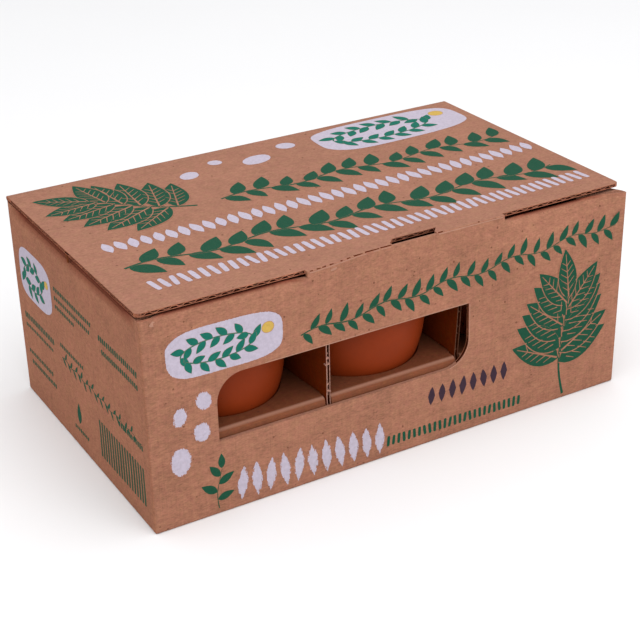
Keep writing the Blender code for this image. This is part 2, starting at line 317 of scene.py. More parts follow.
# Stage: the floor, the point that the lights face, and each light's setting, size and place
FLOOR_RADIUS = 4.0
FLOOR_RIM = 0.4
LIT_POINT = (0.08, 0.04, 0.03)
LIGHTS = {
    "key_light": ("key", 0.9, (0.02, -0.25, 0.85)),
    "fill_light": ("fill", 0.7, (0.25, -0.78, 0.35)),
}
SENSOR_WIDTH = 36.0
NEAREST_SEEN = 0.01


def setting(name, text, default, **limits):
    """A plain number that a user can change."""
    return FloatProperty(name=name, description=text, default=default, **limits)


def length(name, text, default):
    """A size in metres that a user can change."""
    return setting(name, text, default, unit="LENGTH", precision=5)


def colour(name, text, default):
    """A linear colour that a user can change."""
    return FloatVectorProperty(name=name, description=text, default=default, size=3,
                               subtype="COLOR", min=0.0, max=1.0)


class CartonSizes(bpy.types.PropertyGroup):
    """Sizes of the folded carton"""
    board: length("Board", "Thickness of the carton's corrugated board", 0.0011)
    liner: length("Liner", "Thickness of one liner at a raw edge", 0.00020)
    pitch: length("Flute pitch", "Distance from one flute to the next", 0.0036)
    groove: length("Edge groove", "How deep a raw edge is open between its liners", 0.0013)
    inset: length("Skin inset", "How far the skin lies inside the CAD box, so that the print fits", 0.00012)
    fold: length("Folds", "Radius of the folds between walls, base, lid and flaps", 0.0007)
    flap_fold: length("Flap folds", "Radius of the folds between the side walls and the dust flaps", 0.0015)
    crease: length("Crease", "Radius of the crease that joins the lid to the front", 0.00025)
    window_left: length("Window left", "Window's left edge from the left wall", 0.0206)
    window_right: length("Window right", "Window's right edge from the left wall", 0.1022)
    window_bottom: length("Window bottom", "Window's lower edge above the table", 0.0228)
    window_top: length("Window top", "Window's upper edge above the table", 0.0423)
    window_radius: length("Window radius", "Radius of the window's two round corners", 0.0080)
    lid_sag: length("Lid sag", "How far the lid's middle sinks", 0.00035)


class InsertSizes(bpy.types.PropertyGroup):
    """Sizes of the insert and its dividers"""
    board: length("Board", "Thickness of the insert's and the dividers' board", 0.0013)
    fold: length("Fold radius", "Radius of the shelf's two long folds", 0.0015)
    hole_play: length("Hole play", "Gap between an egg and its hole", 0.00035)
    tab: length("Divider tab", "Depth of a divider's tab in its slot", 0.0035)
    slot_play: length("Slot play", "Gap on each side of a tab in its slot", 0.0004)
    bow: length("Divider bow", "How far the left divider is pushed aside", 0.0010)
    kick: length("Divider kick", "How far the left divider's front end stands off", 0.0008)
    liner: length("Liner", "Thickness of one liner at a divider's raw edge", 0.00026)
    groove: length("Edge groove", "How deep a divider's raw edge is open between its liners", 0.0020)
    set_back: length("Set back", "How far the right divider's front end stands back", 0.0012)


class EggSizes(bpy.types.PropertyGroup):
    """Shape of the eggs"""
    taper: setting("Taper", "How much fuller the blunt end is", 0.05)
    upper: setting("Upper part", "Share of the height above the widest level", 0.45, subtype="FACTOR",
                   min=0.2, max=0.8)


class CartonFinishes(bpy.types.PropertyGroup):
    """Colours of board, print, eggs and floor"""
    kraft: colour("Kraft", "Outer liner", (0.308, 0.144, 0.095))
    kraft_dark: colour("Kraft fibre", "Dark fibres and specks in the liner", (0.085, 0.030, 0.016))
    # Inner liner and insert: their kraft, set darker and redder than the outer liner, partly as painted
    # shade for the carton's dim inside.
    kraft_inside: colour("Inside", "Inner liner and insert", (0.155, 0.046, 0.020))
    # The dividers' liner: set far darker than the inside kraft, as painted shade for their shaded faces.
    kraft_divider: colour("Divider", "Liner of the dividers", (0.115, 0.022, 0.008))
    raw_edge: colour("Raw edge", "Cut edges and the wavy inner sheet", (0.310, 0.124, 0.078))
    raw_inside: colour("Raw edge inside", "Cut edges of the left divider", (0.330, 0.180, 0.140))
    raw_shaded: colour("Raw edge in shade", "Cut edges of the right divider", (0.100, 0.042, 0.026))
    # Pale kraft: rubbed wear, and painted highlights on the insert's fold ridge, along the lid's crease and
    # at the front's crushed top left corner.
    worn: colour("Worn kraft", "Pale rubbed places along folds", (0.370, 0.190, 0.132))
    # Painted shade: red-brown standing for the lid's shadow on the walls' tops.
    shaded: colour("Wall tops", "Red-brown of the walls' tops under the lid", (0.165, 0.034, 0.016))
    # Painted shade: near-black for the shaded inside of the raw edges' grooves.
    hollow: colour("Hollow", "Deep inside the raw edges", (0.060, 0.011, 0.003))
    green: colour("Green ink", "Dark green of the sprigs", (0.010, 0.066, 0.036))
    teal: colour("Teal ink", "Brighter green on the white fields", (0.008, 0.130, 0.092))
    white: colour("White ink", "Cool white of fields and ovals", (0.450, 0.400, 0.480))
    yellow: colour("Yellow ink", "Small ovals on the white fields", (0.520, 0.340, 0.080))
    aubergine: colour("Dark ink", "Row of small diamonds", (0.040, 0.022, 0.034))
    shell: colour("Egg shell", "Brown shell", (0.210, 0.0275, 0.0046))
    shell_speck: colour("Shell speck", "Darker speckles on the shell", (0.100, 0.016, 0.005))
    floor: colour("Floor", "Plain floor", (0.830, 0.830, 0.840))


class CartonStage(bpy.types.PropertyGroup):
    """Places of the camera and power of the lights"""
    lens: setting("Lens", "Focal length in mm on a 36 mm wide sensor", 83.14)
    azimuth: setting("Azimuth", "Camera's turn round the carton, in degrees", -29.91)
    elevation: setting("Elevation", "Camera's height angle, in degrees", 26.93)
    roll: setting("Roll", "Camera's roll, in degrees", -1.25)
    from_left: length("Camera from left", "Camera's distance from the left wall", -0.1246)
    from_front: length("Camera from front", "Camera's distance from the front wall", -0.3077)
    height: length("Camera height", "Camera's height above the table", 0.2311)
    key: setting("Key light", "Power of the large light above", 4.6)
    fill: setting("Fill light", "Power of the light in front", 1.3)
    ambient: setting("Ambient", "Strength of the plain surroundings", 0.90)


def at(from_left, from_front, height):
    """A point in the frame from its distances to the left wall, front wall and table."""
    return CAD_LOW + Vector((from_left, from_front, height))


def smooth(value):
    """An S-shaped step from 0 to 1."""
    value = min(max(value, 0.0), 1.0)
    return value * value * (3 - 2 * value)


def lean(from_left, height):
    """How far the front wall is drawn back at a place."""
    rise = smooth((from_left - LEAN_BEGINS) / (LEAN_FULL - LEAN_BEGINS))
    fall = smooth((LENGTH - from_left) / (LENGTH - LEAN_ENDS))
    up = max(height - LEAN_START_HEIGHT, 0.0) / (HEIGHT - LEAN_START_HEIGHT)
    return LEAN_DEPTH * rise * fall * up * up


def close_to(first, second, reach=SAME_PLACE):
    """True if two values are the same, or no further apart than a reach."""
    return abs(first - second) < reach


def fade(value, size, edge=EDGE_STRIP):
    """0 along a panel's edges and 1 well inside it."""
    return smooth(min(value, size - value) / edge)


def top_share(height):
    """How far up a place is in the strip that tucks in under the lid, from 0 to 1."""
    return smooth((height - (WALL_TOP - TUCK_HEIGHT)) / TUCK_HEIGHT)


def front_tuck(from_left, height):
    """How far the front wall's top tucks in and sinks under the lid's raw edges."""
    up = top_share(height)
    left_room = min(from_left - TUCK_FROM_LEFT, LEFT_CUT_END - TUCK_FROM_CUT - from_left)
    left = up * smooth(left_room / TUCK_EASE)
    right = up * smooth((from_left - RIGHT_CUT_START - TUCK_FROM_CUT) / TUCK_EASE)
    right *= smooth((LENGTH - TUCK_FROM_RIGHT - from_left) / CORNER_EASE)
    return FRONT_TUCK * (left + right), RIGHT_CUT_DROP * right


def side_share(from_front, height):
    """How much of a side wall's tuck and drop under the lid a place takes, from 0 to 1."""
    return top_share(height) * fade(from_front, DEPTH, CORNER_EASE)


def jitter(amount, closeness, along, phase, seed):
    """A small uneven value that changes along an edge."""
    return amount * noise.noise(Vector((along * closeness, phase, seed)))


def panel_offset(panel, place):
    """How far a point of a panel is moved by handling: the lean, the lid's sag and faint ripples."""
    if panel is None:
        return Vector()
    (first, second), way, seed, middle_moves = PANELS[panel]
    here = place - CAD_LOW
    x, y, z = here
    ripple = jitter(RIPPLE, RIPPLES_PER_METRE, here[first], here[second] * RIPPLES_PER_METRE, seed)
    amount = (middle_moves + ripple) * fade(here[first], EXTENT[first]) * fade(here[second], EXTENT[second])
    drop = 0.0
    if panel == "front":
        tuck, drop = front_tuck(x, z)
        amount += lean(x, z) + tuck
    elif panel == "lid":
        sag = bpy.context.scene.carton_sizes.lid_sag
        amount -= sag * fade(x, LENGTH, LID_EDGE_STRIP) * fade(y, DEPTH, LID_EDGE_STRIP)
    elif panel in ("left", "right"):
        share = side_share(y, z)
        amount += SIDE_TUCK * share
        drop = SIDE_DROP * share
    return Vector(way) * amount - Vector((0.0, 0.0, drop))


def panel_of(place):
    """The panel on whose plane a point of the skin lies, or None."""
    x, y, z = place - CAD_LOW
    for panel, gap in (("front", y), ("lid", HEIGHT - z), ("left", x), ("right", LENGTH - x),
                       ("back", DEPTH - y)):
        if gap < ON_PANEL:
            return panel
    return None


def alone(piece):
    """Deselect everything and make one piece active."""
    bpy.ops.object.select_all(action="DESELECT")
    piece.select_set(True)
    bpy.context.view_layer.objects.active = piece


@contextmanager
def editing(piece, kind="FACE"):
    """Edit mode on one piece, with nothing selected."""
    alone(piece)
    bpy.ops.object.mode_set(mode="EDIT")
    bpy.ops.mesh.select_mode(type=kind)
    bpy.ops.mesh.select_all(action="DESELECT")
    yield piece
    bpy.ops.object.mode_set(mode="OBJECT")


def pick(piece, kind, test):
    """Select the faces, edges or verts of the piece in edit mode that pass a test."""
    bpy.ops.mesh.select_all(action="DESELECT")
    bm = bmesh.from_edit_mesh(piece.data)
    for item in getattr(bm, kind):
        if test(item):
            item.select_set(True)
    bm.select_flush_mode()
    bmesh.update_edit_mesh(piece.data)


def pick_corner(piece, corner):
    """Select the point of the piece in edit mode that lies at one place."""
    pick(piece, "verts", lambda vertex: (vertex.co - corner).length < 10 * SAME_PLACE)


def middle(item):
    """Middle of an edge or a face, as distances from the left wall, front wall and table."""
    total = Vector()
    for vertex in item.verts:
        total += vertex.co
    return total / len(item.verts) - CAD_LOW


def fresh(name, add, **settings):
    """A new primitive, with its place in its mesh."""
    bpy.ops.object.select_all(action="DESELECT")
    add(**settings)
    piece = bpy.context.object
    piece.name = name
    bpy.ops.object.transform_apply(location=True, rotation=True, scale=True)
    return piece


def box_piece(name, low, high, *finishes):
    """A box between two corners."""
    box = fresh(name, bpy.ops.mesh.primitive_cube_add, size=1.0, location=(low + high) / 2, scale=high - low)
    for finish in finishes:
        box.data.materials.append(finish)
    return box


def joined(name, pieces):
    """Several pieces as one."""
    alone(pieces[0])
    for piece in pieces:
        piece.select_set(True)
    if len(pieces) > 1:
        bpy.ops.object.join()
    whole = bpy.context.object
    whole.name = name
    return whole


def applied(piece, kind, **settings):
    """Add a modifier with these settings and apply it."""
    alone(piece)
    step = piece.modifiers.new(kind.lower(), kind)
    for key, value in settings.items():
        setattr(step, key, value)
    bpy.ops.object.modifier_apply(modifier=step.name)


def places(size, fixed=(), step=GRID_STEP):
    """Cutting places across a size: the fixed ones, and regular ones where there is room."""
    regular = [step * number for number in range(1, int(size / step))]
    fixed = list(fixed)
    return sorted(fixed + [place for place in regular if all(abs(place - f) > GRID_CLEAR for f in fixed)])


def slice_up(piece, axis, cuts, test=None):
    """Cut a piece in edit mode across an axis at each of these distances."""
    normal = [0.0, 0.0, 0.0]
    normal[axis] = 1.0
    for cut in cuts:
        pick(piece, "faces", test or (lambda face: True))
        place = CAD_LOW.copy()
        place[axis] += cut
        bpy.ops.mesh.bisect(plane_co=place, plane_no=normal, threshold=SAME_PLACE / 10)


def dress(piece, slot, *finishes):
    """Give a piece its finishes and hang it from the frame's root body."""
    for finish in finishes:
        piece.data.materials.append(finish)
    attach(piece, "root")


def refinish(piece, *finishes):
    """Change a piece's first finishes."""
    for slot, finish in zip(piece.material_slots, finishes):
        slot.material = finish


def mark(piece, name, values):
    """Store a value for each of a piece's points."""
    piece.data.attributes.new(name, "FLOAT", "POINT").data.foreach_set("value", values)


def add_node(tree, kind, inputs=None, **settings):
    """A node with its settings, values and links in one go."""
    node = tree.nodes.new(kind)
    for key, value in settings.items():
        setattr(node, key, value)
    for key, value in (inputs or {}).items():
        if isinstance(value, bpy.types.NodeSocket):
            tree.links.new(value, node.inputs[key])
        else:
            node.inputs[key].default_value = value
    return node


def maths(tree, operation, *values):
    """A maths node's result."""
    return add_node(tree, "ShaderNodeMath", dict(enumerate(values)), operation=operation).outputs[0]


def between(tree, value, low, high, to_low=0.0, to_high=1.0, kind="SMOOTHSTEP"):
    """A value taken from one range to another, and held at its ends."""
    inputs = {0: value, 1: low, 2: high, 3: to_low, 4: to_high}
    return add_node(tree, "ShaderNodeMapRange", inputs, interpolation_type=kind).outputs[0]


def blended(tree, factor, first, second):
    """Two colours mixed."""
    node = add_node(tree, "ShaderNodeMix", {0: factor, 6: first, 7: second}, data_type="RGBA")
    return node.outputs[2]


def grain(tree, vector, scale, detail=3.0, rough=0.6):
    """A noise value."""
    inputs = {"Vector": vector, "Scale": scale, "Detail": detail, "Roughness": rough}
    return add_node(tree, "ShaderNodeTexNoise", inputs).outputs[0]


def around(tree, value, amount, level=0.0):
    """A noise value's swing about its middle, scaled and added to a level."""
    return maths(tree, "MULTIPLY_ADD", maths(tree, "SUBTRACT", value, 0.5), amount, level)


def stretched(tree, vector, scale, turn=(0.0, 0.0, 0.0), shift=(0.0, 0.0, 0.0)):
    """Coordinates scaled, turned and shifted by a Mapping node."""
    inputs = {"Vector": vector, "Scale": scale, "Rotation": turn, "Location": shift}
    return add_node(tree, "ShaderNodeMapping", inputs).outputs[0]


def millimetres(tree, shift=(0.0, 0.0, 0.0)):
    """Object coordinates in millimetres."""
    place = add_node(tree, "ShaderNodeTexCoord").outputs["Object"]
    return stretched(tree, place, (1000.0, 1000.0, 1000.0), shift=shift)


def hued(tree, colour_in, **inputs):
    """A colour with another hue, saturation or value."""
    return add_node(tree, "ShaderNodeHueSaturation", {"Color": colour_in, **inputs}).outputs[0]


def parted(tree, vector):
    """The three parts of a vector."""
    return add_node(tree, "ShaderNodeSeparateXYZ", {0: vector}).outputs


def marked(tree, name):
    """A value that is stored on the mesh."""
    node = add_node(tree, "ShaderNodeAttribute", attribute_name=name, attribute_type="GEOMETRY")
    return node.outputs["Fac"]


def specks(tree, mm, scale, channel, rarity, size, soft, strength, ragged=0.0):
    """Scattered specks of uneven size."""
    cells = add_node(tree, "ShaderNodeTexVoronoi", {"Vector": mm, "Scale": scale})
    chance = add_node(tree, "ShaderNodeSeparateColor", {0: cells.outputs["Color"]}).outputs[channel]
    reach = between(tree, chance, rarity, 1.0, 0.0, size, "LINEAR")
    away = cells.outputs["Distance"]
    if ragged:
        away = maths(tree, "MULTIPLY_ADD", grain(tree, mm, 3.0), ragged, away)
    return between(tree, maths(tree, "SUBTRACT", reach, away), 0.0, soft, 0.0, strength)


def shader_group(name, fill, inputs):
    """The node group of this name, filled in when it is first asked for."""
    tree = bpy.data.node_groups.get(name)
    if tree is None:
        tree = bpy.data.node_groups.new(name, "ShaderNodeTree")
        for label, default in inputs.items():
            kind = "NodeSocketFloat" if isinstance(default, float) else "NodeSocketColor"
            socket = tree.interface.new_socket(name=label, in_out="INPUT", socket_type=kind)
            socket.default_value = default
        results = fill(tree, tree.nodes.new("NodeGroupInput").outputs)
        for label, value in results.items():
            kind = "NodeSocketColor" if value.type == "RGBA" else "NodeSocketFloat"
            tree.interface.new_socket(name=label, in_out="OUTPUT", socket_type=kind)
        outer = tree.nodes.new("NodeGroupOutput")
        for label, value in results.items():
            tree.links.new(value, outer.inputs[label])
    return tree


def kraft_nodes(tree, inner):
    """Kraft liner: fibres, blotches, dark specks, pale hairs and the faint lines of the flutes."""
    mm = millimetres(tree)
    laid = stretched(tree, mm, (0.40, 0.75, 1.0))
    fine = grain(tree, laid, 2.6, 4.0, 0.68)
    coarse = grain(tree, laid, 0.85, 3.0, 0.6)
    blotch = grain(tree, mm, 0.16, 3.0, 0.55)
    cloud = grain(tree, mm, 0.035, 2.0, 0.5)
    hairs_one = grain(tree, stretched(tree, mm, (0.28, 1.9, 1.9), (0.0, 0.25, 0.3)), 1.7, 2.0, 0.5)
    hairs_two = grain(tree, stretched(tree, mm, (1.9, 0.9, 0.35), (0.3, -0.5, 0.2)), 1.5, 2.0, 0.5)
    shade = 0.0
    for layer, amount in ((fine, 0.85), (coarse, 0.38), (blotch, 0.24), (cloud, 0.18)):
        shade = around(tree, layer, amount, shade)
    facing = parted(tree, add_node(tree, "ShaderNodeNewGeometry").outputs["Normal"])
    sideways = maths(tree, "GREATER_THAN", maths(tree, "ABSOLUTE", facing[0]), 0.6)
    upright = maths(tree, "LESS_THAN", maths(tree, "ABSOLUTE", facing[2]), 0.6)
    x, y, _ = parted(tree, mm)
    along = add_node(tree, "ShaderNodeMix", {0: sideways, 2: x, 3: y}).outputs[0]
    pitch = bpy.context.scene.carton_sizes.pitch * 1000.0
    wave = maths(tree, "SINE", maths(tree, "MULTIPLY", along, 2 * math.pi / pitch))
    wave = maths(tree, "MULTIPLY", wave, inner["Flute lines"])
    shade = maths(tree, "MULTIPLY_ADD", wave, 0.010, shade)
    streaks = grain(tree, stretched(tree, mm, (2.4, 2.4, 0.10)), 1.2, 2.0, 0.6)
    weave = grain(tree, stretched(tree, mm, (0.22, 0.22, 3.0)), 1.2, 2.0, 0.6)
    streaks = maths(tree, "SUBTRACT", maths(tree, "ADD", streaks, weave), 1.0)
    streaks = maths(tree, "MULTIPLY", streaks, upright)
    shade = maths(tree, "MULTIPLY_ADD", streaks, 0.26, shade)
    strength = maths(tree, "MULTIPLY_ADD", upright, 0.30, 1.0)
    strength = maths(tree, "MULTIPLY", strength, inner["Contrast"])
    value = maths(tree, "MULTIPLY_ADD", shade, strength, 1.0)
    drift = around(tree, grain(tree, stretched(tree, mm, (0.6, 0.6, 0.6)), 1.0, 3.0, 0.6), 0.024, 0.5)
    # Painted shade: sideways and upright faces get a little more saturation, the richer tone of board in
    # shade.
    richer_in_shade = maths(tree, "MULTIPLY_ADD", sideways, 0.04, 1.0)
    richer_in_shade = maths(tree, "MULTIPLY_ADD", upright, 0.05, richer_in_shade)
    toned = hued(tree, inner["Paper"], Hue=drift, Saturation=richer_in_shade, Value=value)
    pale = between(tree, maths(tree, "MAXIMUM", hairs_one, hairs_two), 0.66, 0.78, 0.0, 0.30)
    tint = blended(tree, pale, toned, hued(tree, toned, Value=1.35, Saturation=0.86))
    tint = blended(tree, specks(tree, mm, 0.45, 0, 0.45, 0.18, 0.03, 0.62), tint, inner["Fibre"])
    strands = grain(tree, stretched(tree, mm, (0.5, 2.2, 2.2), (0.2, 0.4, -0.5)), 1.3, 2.0, 0.5)
    tint = blended(tree, between(tree, strands, 0.70, 0.80, 0.0, 0.32), tint, inner["Fibre"])
    height = maths(tree, "MULTIPLY_ADD", fine, 0.55, maths(tree, "MULTIPLY", coarse, 0.45))
    height = maths(tree, "MULTIPLY_ADD", pale, 0.6, height)
    height = maths(tree, "MULTIPLY_ADD", wave, 0.10, height)
    rough = between(tree, fine, 0.2, 0.8, 0.98, 0.84, "LINEAR")
    return {"Color": tint, "Roughness": rough, "Height": height}


def ink_nodes(tree, inner):
    """Matt ink on kraft: worn pinholes, feathered edges and board that shows through."""
    mm = millimetres(tree)
    rim = around(tree, grain(tree, mm, 3.2, 3.0, 0.6), inner["Feather"], inner["Rim"])
    brush = grain(tree, stretched(tree, mm, (1.6, 1.0, 0.5)), 1.6, 2.0, 0.5)
    cover = between(tree, around(tree, brush, inner["Feather"], rim), 0.18, 0.42)
    pinholes = between(tree, grain(tree, mm, 4.5, 2.0, 0.7), 0.60, 0.74)
    patches = between(tree, grain(tree, mm, 0.7, 3.0, 0.6), 0.35, 0.75, 0.25, 1.0)
    holes = maths(tree, "MULTIPLY", maths(tree, "MULTIPLY", pinholes, patches), inner["Thin"])
    cover = maths(tree, "MULTIPLY", cover, maths(tree, "SUBTRACT", 1.0, holes))
    uneven = between(tree, grain(tree, mm, 1.1, 3.0, 0.6), 0.3, 0.7, 0.90, 1.07, "LINEAR")
    inked = hued(tree, inner["Ink"], Value=uneven)
    return {"Color": blended(tree, cover, inner["Board"], inked), "Cover": cover}


def opaque(value):
    """A linear colour with full alpha."""
    return (*value, 1.0)


def kraft_liner(tree, paper, contrast=1.0, flute_lines=1.0):
    """The outputs of a kraft liner in a material."""
    group = shader_group("kraft liner", kraft_nodes, {
        "Paper": (0.4, 0.2, 0.13, 1.0), "Fibre": (0.1, 0.04, 0.02, 1.0),
        "Contrast": 1.0, "Flute lines": 1.0})
    fibre = opaque(bpy.context.scene.carton_finishes.kraft_dark)
    inputs = {"Paper": opaque(paper), "Fibre": fibre, "Contrast": contrast, "Flute lines": flute_lines}
    return add_node(tree, "ShaderNodeGroup", inputs, node_tree=group).outputs


def ink_layer(tree, **inputs):
    """The outputs of a layer of ink in a material."""
    group = shader_group("ink on kraft", ink_nodes, {
        "Board": (0.4, 0.2, 0.13, 1.0), "Ink": (0.02, 0.1, 0.06, 1.0),
        "Rim": 1.0, "Feather": 0.5, "Thin": 0.3})
    return add_node(tree, "ShaderNodeGroup", inputs, node_tree=group).outputs


def surface(tree, tint, rough, height, relief, depth, gloss):
    """Lead colour, roughness and relief to a material's shader."""
    shader = tree.nodes["Principled BSDF"]
    bump = add_node(tree, "ShaderNodeBump", {"Height": height, "Strength": relief, "Distance": depth})
    tree.links.new(tint, shader.inputs["Base Color"])
    tree.links.new(rough, shader.inputs["Roughness"])
    tree.links.new(bump.outputs[0], shader.inputs["Normal"])
    shader.inputs["Specular IOR Level"].default_value = gloss


def finish_named(name, fill, *values):
    """The material of this name, filled in when it is first asked for."""
    finish = bpy.data.materials.get(name)
    if finish is None:
        finish = bpy.data.materials.new(name)
        finish.use_nodes = True
        fill(finish.node_tree, *values)
    return finish


def ridge_highlight_and_pale_flange(tree):
    """How much painted highlight the insert's front fold takes, and how much paler the flange below it is.
    """
    fold = CAD_LOW.y + INSERT_EDGE + bpy.context.scene.insert_sizes.fold * RIDGE_PLACE
    y = parted(tree, add_node(tree, "ShaderNodeTexCoord").outputs["Object"])[1]
    away = maths(tree, "ABSOLUTE", maths(tree, "SUBTRACT", y, fold))
    before = maths(tree, "SUBTRACT", fold, y)
    return maths(tree, "MAXIMUM", between(tree, away, RIDGE_WIDTH, 0.0, 0.0, RIDGE_HIGHLIGHT),
                 between(tree, before, 0.0, RIDGE_WIDTH, 0.0, FLANGE_PALING))


def board_nodes(tree, kind):
    """Bare kraft liner, with red-brown painted shade where the mesh marks it, and on the insert a painted
    highlight along its front fold and a paler flange.
    """
    finishes = bpy.context.scene.carton_finishes
    paper, contrast, flute_lines, relief = BOARDS[kind]
    kraft = kraft_liner(tree, getattr(finishes, paper), contrast, flute_lines)
    # Painted shade: red-brown blended in where the mesh marks the lid's shadow on the walls' tops.
    tint = blended(tree, marked(tree, "shade"), kraft["Color"], opaque(finishes.shaded))
    # On the insert: a painted highlight on the front fold's ridge, and a paler flange below it.
    if kind == "insert":
        tint = blended(tree, ridge_highlight_and_pale_flange(tree), tint, opaque(finishes.worn))
    surface(tree, tint, kraft["Roughness"], kraft["Height"], relief, PAPER_DEPTH, PAPER_GLOSS)


def bare(kind):
    """Bare board of a kind."""
    return finish_named("kraft_" + kind, board_nodes, kind)


def print_nodes(tree, paint, feather, thin):
    """Ink printed on the outer liner."""
    finishes = bpy.context.scene.carton_finishes
    kraft = kraft_liner(tree, finishes.kraft)
    layer = ink_layer(tree, Board=kraft["Color"], Ink=opaque(getattr(finishes, paint)),
                      Rim=marked(tree, "rim"), Feather=feather, Thin=thin)
    matt = between(tree, layer["Cover"], 0.0, 1.0, 0.92, 0.74, "LINEAR")
    surface(tree, layer["Color"], matt, kraft["Height"], 0.3, PAPER_DEPTH, PAPER_GLOSS)


def printed(kind):
    """An ink of a kind."""
    name, *values = INKS[kind]
    return finish_named(name, print_nodes, *values)


def shell_nodes(tree, number_of_egg):
    """Brown egg shell: clouds of pigment, small speckles and fine pores."""
    finishes = bpy.context.scene.carton_finishes
    mm = millimetres(tree, (61.0 * number_of_egg, 17.0 * number_of_egg, 0.0))
    mottle = grain(tree, mm, 0.8, 4.0, 0.65)
    value = around(tree, mottle, 0.16, around(tree, grain(tree, mm, 0.09, 3.0, 0.55), 0.30, 1.0))
    toned = hued(tree, opaque(finishes.shell), Value=value)
    speck = specks(tree, mm, 0.50, 1, 0.70, 0.20, 0.04, 0.55, ragged=0.10)
    tint = blended(tree, speck, toned, opaque(finishes.shell_speck))
    pores = add_node(tree, "ShaderNodeTexVoronoi", {"Vector": mm, "Scale": 2.6})
    pit = between(tree, pores.outputs["Distance"], 0.0, 0.28)
    rough = between(tree, mottle, 0.3, 0.7, 0.46, 0.58, "LINEAR")
    height = maths(tree, "MULTIPLY_ADD", mottle, 0.35, pit)
    surface(tree, tint, rough, height, 0.22, SHELL_DEPTH, SHELL_GLOSS)


def floor_nodes(tree):
    """Plain pale floor with the faintest unevenness."""
    place = add_node(tree, "ShaderNodeTexCoord").outputs["Object"]
    value = between(tree, grain(tree, place, 6.0, 2.0), 0.3, 0.7, 0.995, 1.005, "LINEAR")
    pale = hued(tree, opaque(bpy.context.scene.carton_finishes.floor), Value=value)
    shader = tree.nodes["Principled BSDF"]
    tree.links.new(pale, shader.inputs["Base Color"])
    shader.inputs["Roughness"].default_value = 0.8
    shader.inputs["Specular IOR Level"].default_value = 0.1


def stretch_at(x):
    """Which stretch of the seam between the lid and the front wall a place from the left is in."""
    if x < LEFT_CUT_END:
        return "left cut"
    if x > RIGHT_CUT_START:
        return "right cut"
    return "slot" if SLOT_LEFT < x < SLOT_RIGHT else "joined"


def in_gap(face, inset):
    """True for the faces between the lid's raw edges and the walls' tops."""
    x, y, z = middle(face)
    stretch = stretch_at(x)
    if z < WALL_TOP:
        return False
    if face.normal.z > FACING:
        return y < SETBACKS[stretch]
    if abs(face.normal.x) > FACING:
        return True
    over_slot = stretch == "slot" and z > HEIGHT - SLOT_DROP - inset
    return face.normal.y < -FACING and (stretch in CUTS or over_slot)


def fold_kind(edge, inset):
    """Which fold or rim an edge of the outer skin lies on, or None."""
    x, y, z = middle(edge)
    run = edge.verts[1].co - edge.verts[0].co
    across, inwards = abs(run.x) > SAME_PLACE, abs(run.y) > SAME_PLACE
    at_side = close_to(x, inset) or close_to(x, LENGTH - inset)
    at_back = close_to(y, DEPTH - inset)
    at_end = at_back or close_to(y, inset)
    if abs(run.z) > 10 * SAME_PLACE:
        return "upright" if at_side and at_end and z < WALL_TOP else None
    if z < SAME_PLACE:
        return "base" if (at_side and inwards) or (at_end and across) else None
    if close_to(z, HEIGHT - inset) and at_back:
        return "back"
    share = side_share(y, WALL_TOP)
    if close_to(z, WALL_TOP - SIDE_DROP * share, NEAR_FOLD) and inwards:
        on_wall = close_to(min(x, LENGTH - x), inset + SIDE_TUCK * share, 2 * NEAR_FOLD)
        return "flap" if on_wall and FLAP_START < y < DEPTH - FLAP_START else None
    tuck, drop = front_tuck(x, WALL_TOP)
    if close_to(z, WALL_TOP - drop, NEAR_FOLD) and stretch_at(x) in CUTS:
        on_wall = close_to(y, inset + lean(x, WALL_TOP) + tuck, 2 * NEAR_FOLD)
        return "top" if on_wall and across else None
    joined_here = stretch_at(x) == "joined" and close_to(z, HEIGHT - inset, 10 * SAME_PLACE)
    on_crease = joined_here and close_to(y, inset + lean(x, HEIGHT), NEAR_FOLD)
    return "crease" if on_crease and across else None


def round_folds(shell, sizes):
    """Round the outside of the folds, and the crease a little."""
    folds = ((("upright", "base", "back"), sizes.fold), (("flap",), sizes.flap_fold),
             (("crease",), sizes.crease), (("top",), TOP_ROUNDING))
    for kinds, radius in folds:
        with editing(shell, "EDGE"):
            pick(shell, "edges", lambda edge: fold_kind(edge, sizes.inset) in kinds)
            bpy.ops.mesh.bevel(offset=radius, segments=3, affect="EDGES")


def shell_skin(inset):
    """The carton's outer skin: a box cut into a grid and opened at the raw edges."""
    lid = HEIGHT - inset
    shell = box_piece("carton_shell", at(inset, inset, 0.0), at(LENGTH - inset, DEPTH - inset, lid))
    levels = [z for z in places(HEIGHT) if z < WALL_TOP - 2 * GRID_CLEAR]
    levels += [WALL_TOP - SHADE_DEPTH, WALL_TOP]
    rows = [y for y in places(DEPTH) if y > SLOT_SETBACK + GRID_CLEAR]
    with editing(shell):
        slice_up(shell, 0, places(LENGTH, (LEFT_CUT_END, SLOT_LEFT, SLOT_RIGHT, RIGHT_CUT_START)))
        slice_up(shell, 2, levels, lambda face: abs(face.normal.z) < FACING)
        slice_up(shell, 2, [HEIGHT - SLOT_DROP - inset], lambda face: face.normal.y < -FACING)
        slice_up(shell, 1, (FLAP_START, DEPTH - FLAP_START),
                 lambda face: abs(face.normal.x) > FACING and middle(face).z < WALL_TOP)
        slice_up(shell, 1, rows)
        slice_up(shell, 1, (LEFT_CUT_SETBACK, RIGHT_CUT_SETBACK, SLOT_SETBACK),
                 lambda face: face.normal.z > FACING)
        pick(shell, "faces", lambda face: in_gap(face, inset))
        bpy.ops.mesh.delete(type="FACE")
    with editing(shell, "VERT"):
        for x, slant in zip((SLOT_LEFT, SLOT_RIGHT), SLOT_SLANT):
            pick_corner(shell, at(x, SLOT_SETBACK, lid))
            bpy.ops.transform.translate(value=(slant, 0.0, 0.0))
        for x, y in ((inset, LEFT_CUT_SETBACK), (LENGTH - inset, RIGHT_CUT_SETBACK)):
            pick_corner(shell, at(x, y, lid))
            bpy.ops.mesh.bevel(offset=LID_CORNER, segments=3, affect="VERTICES")
    return shell


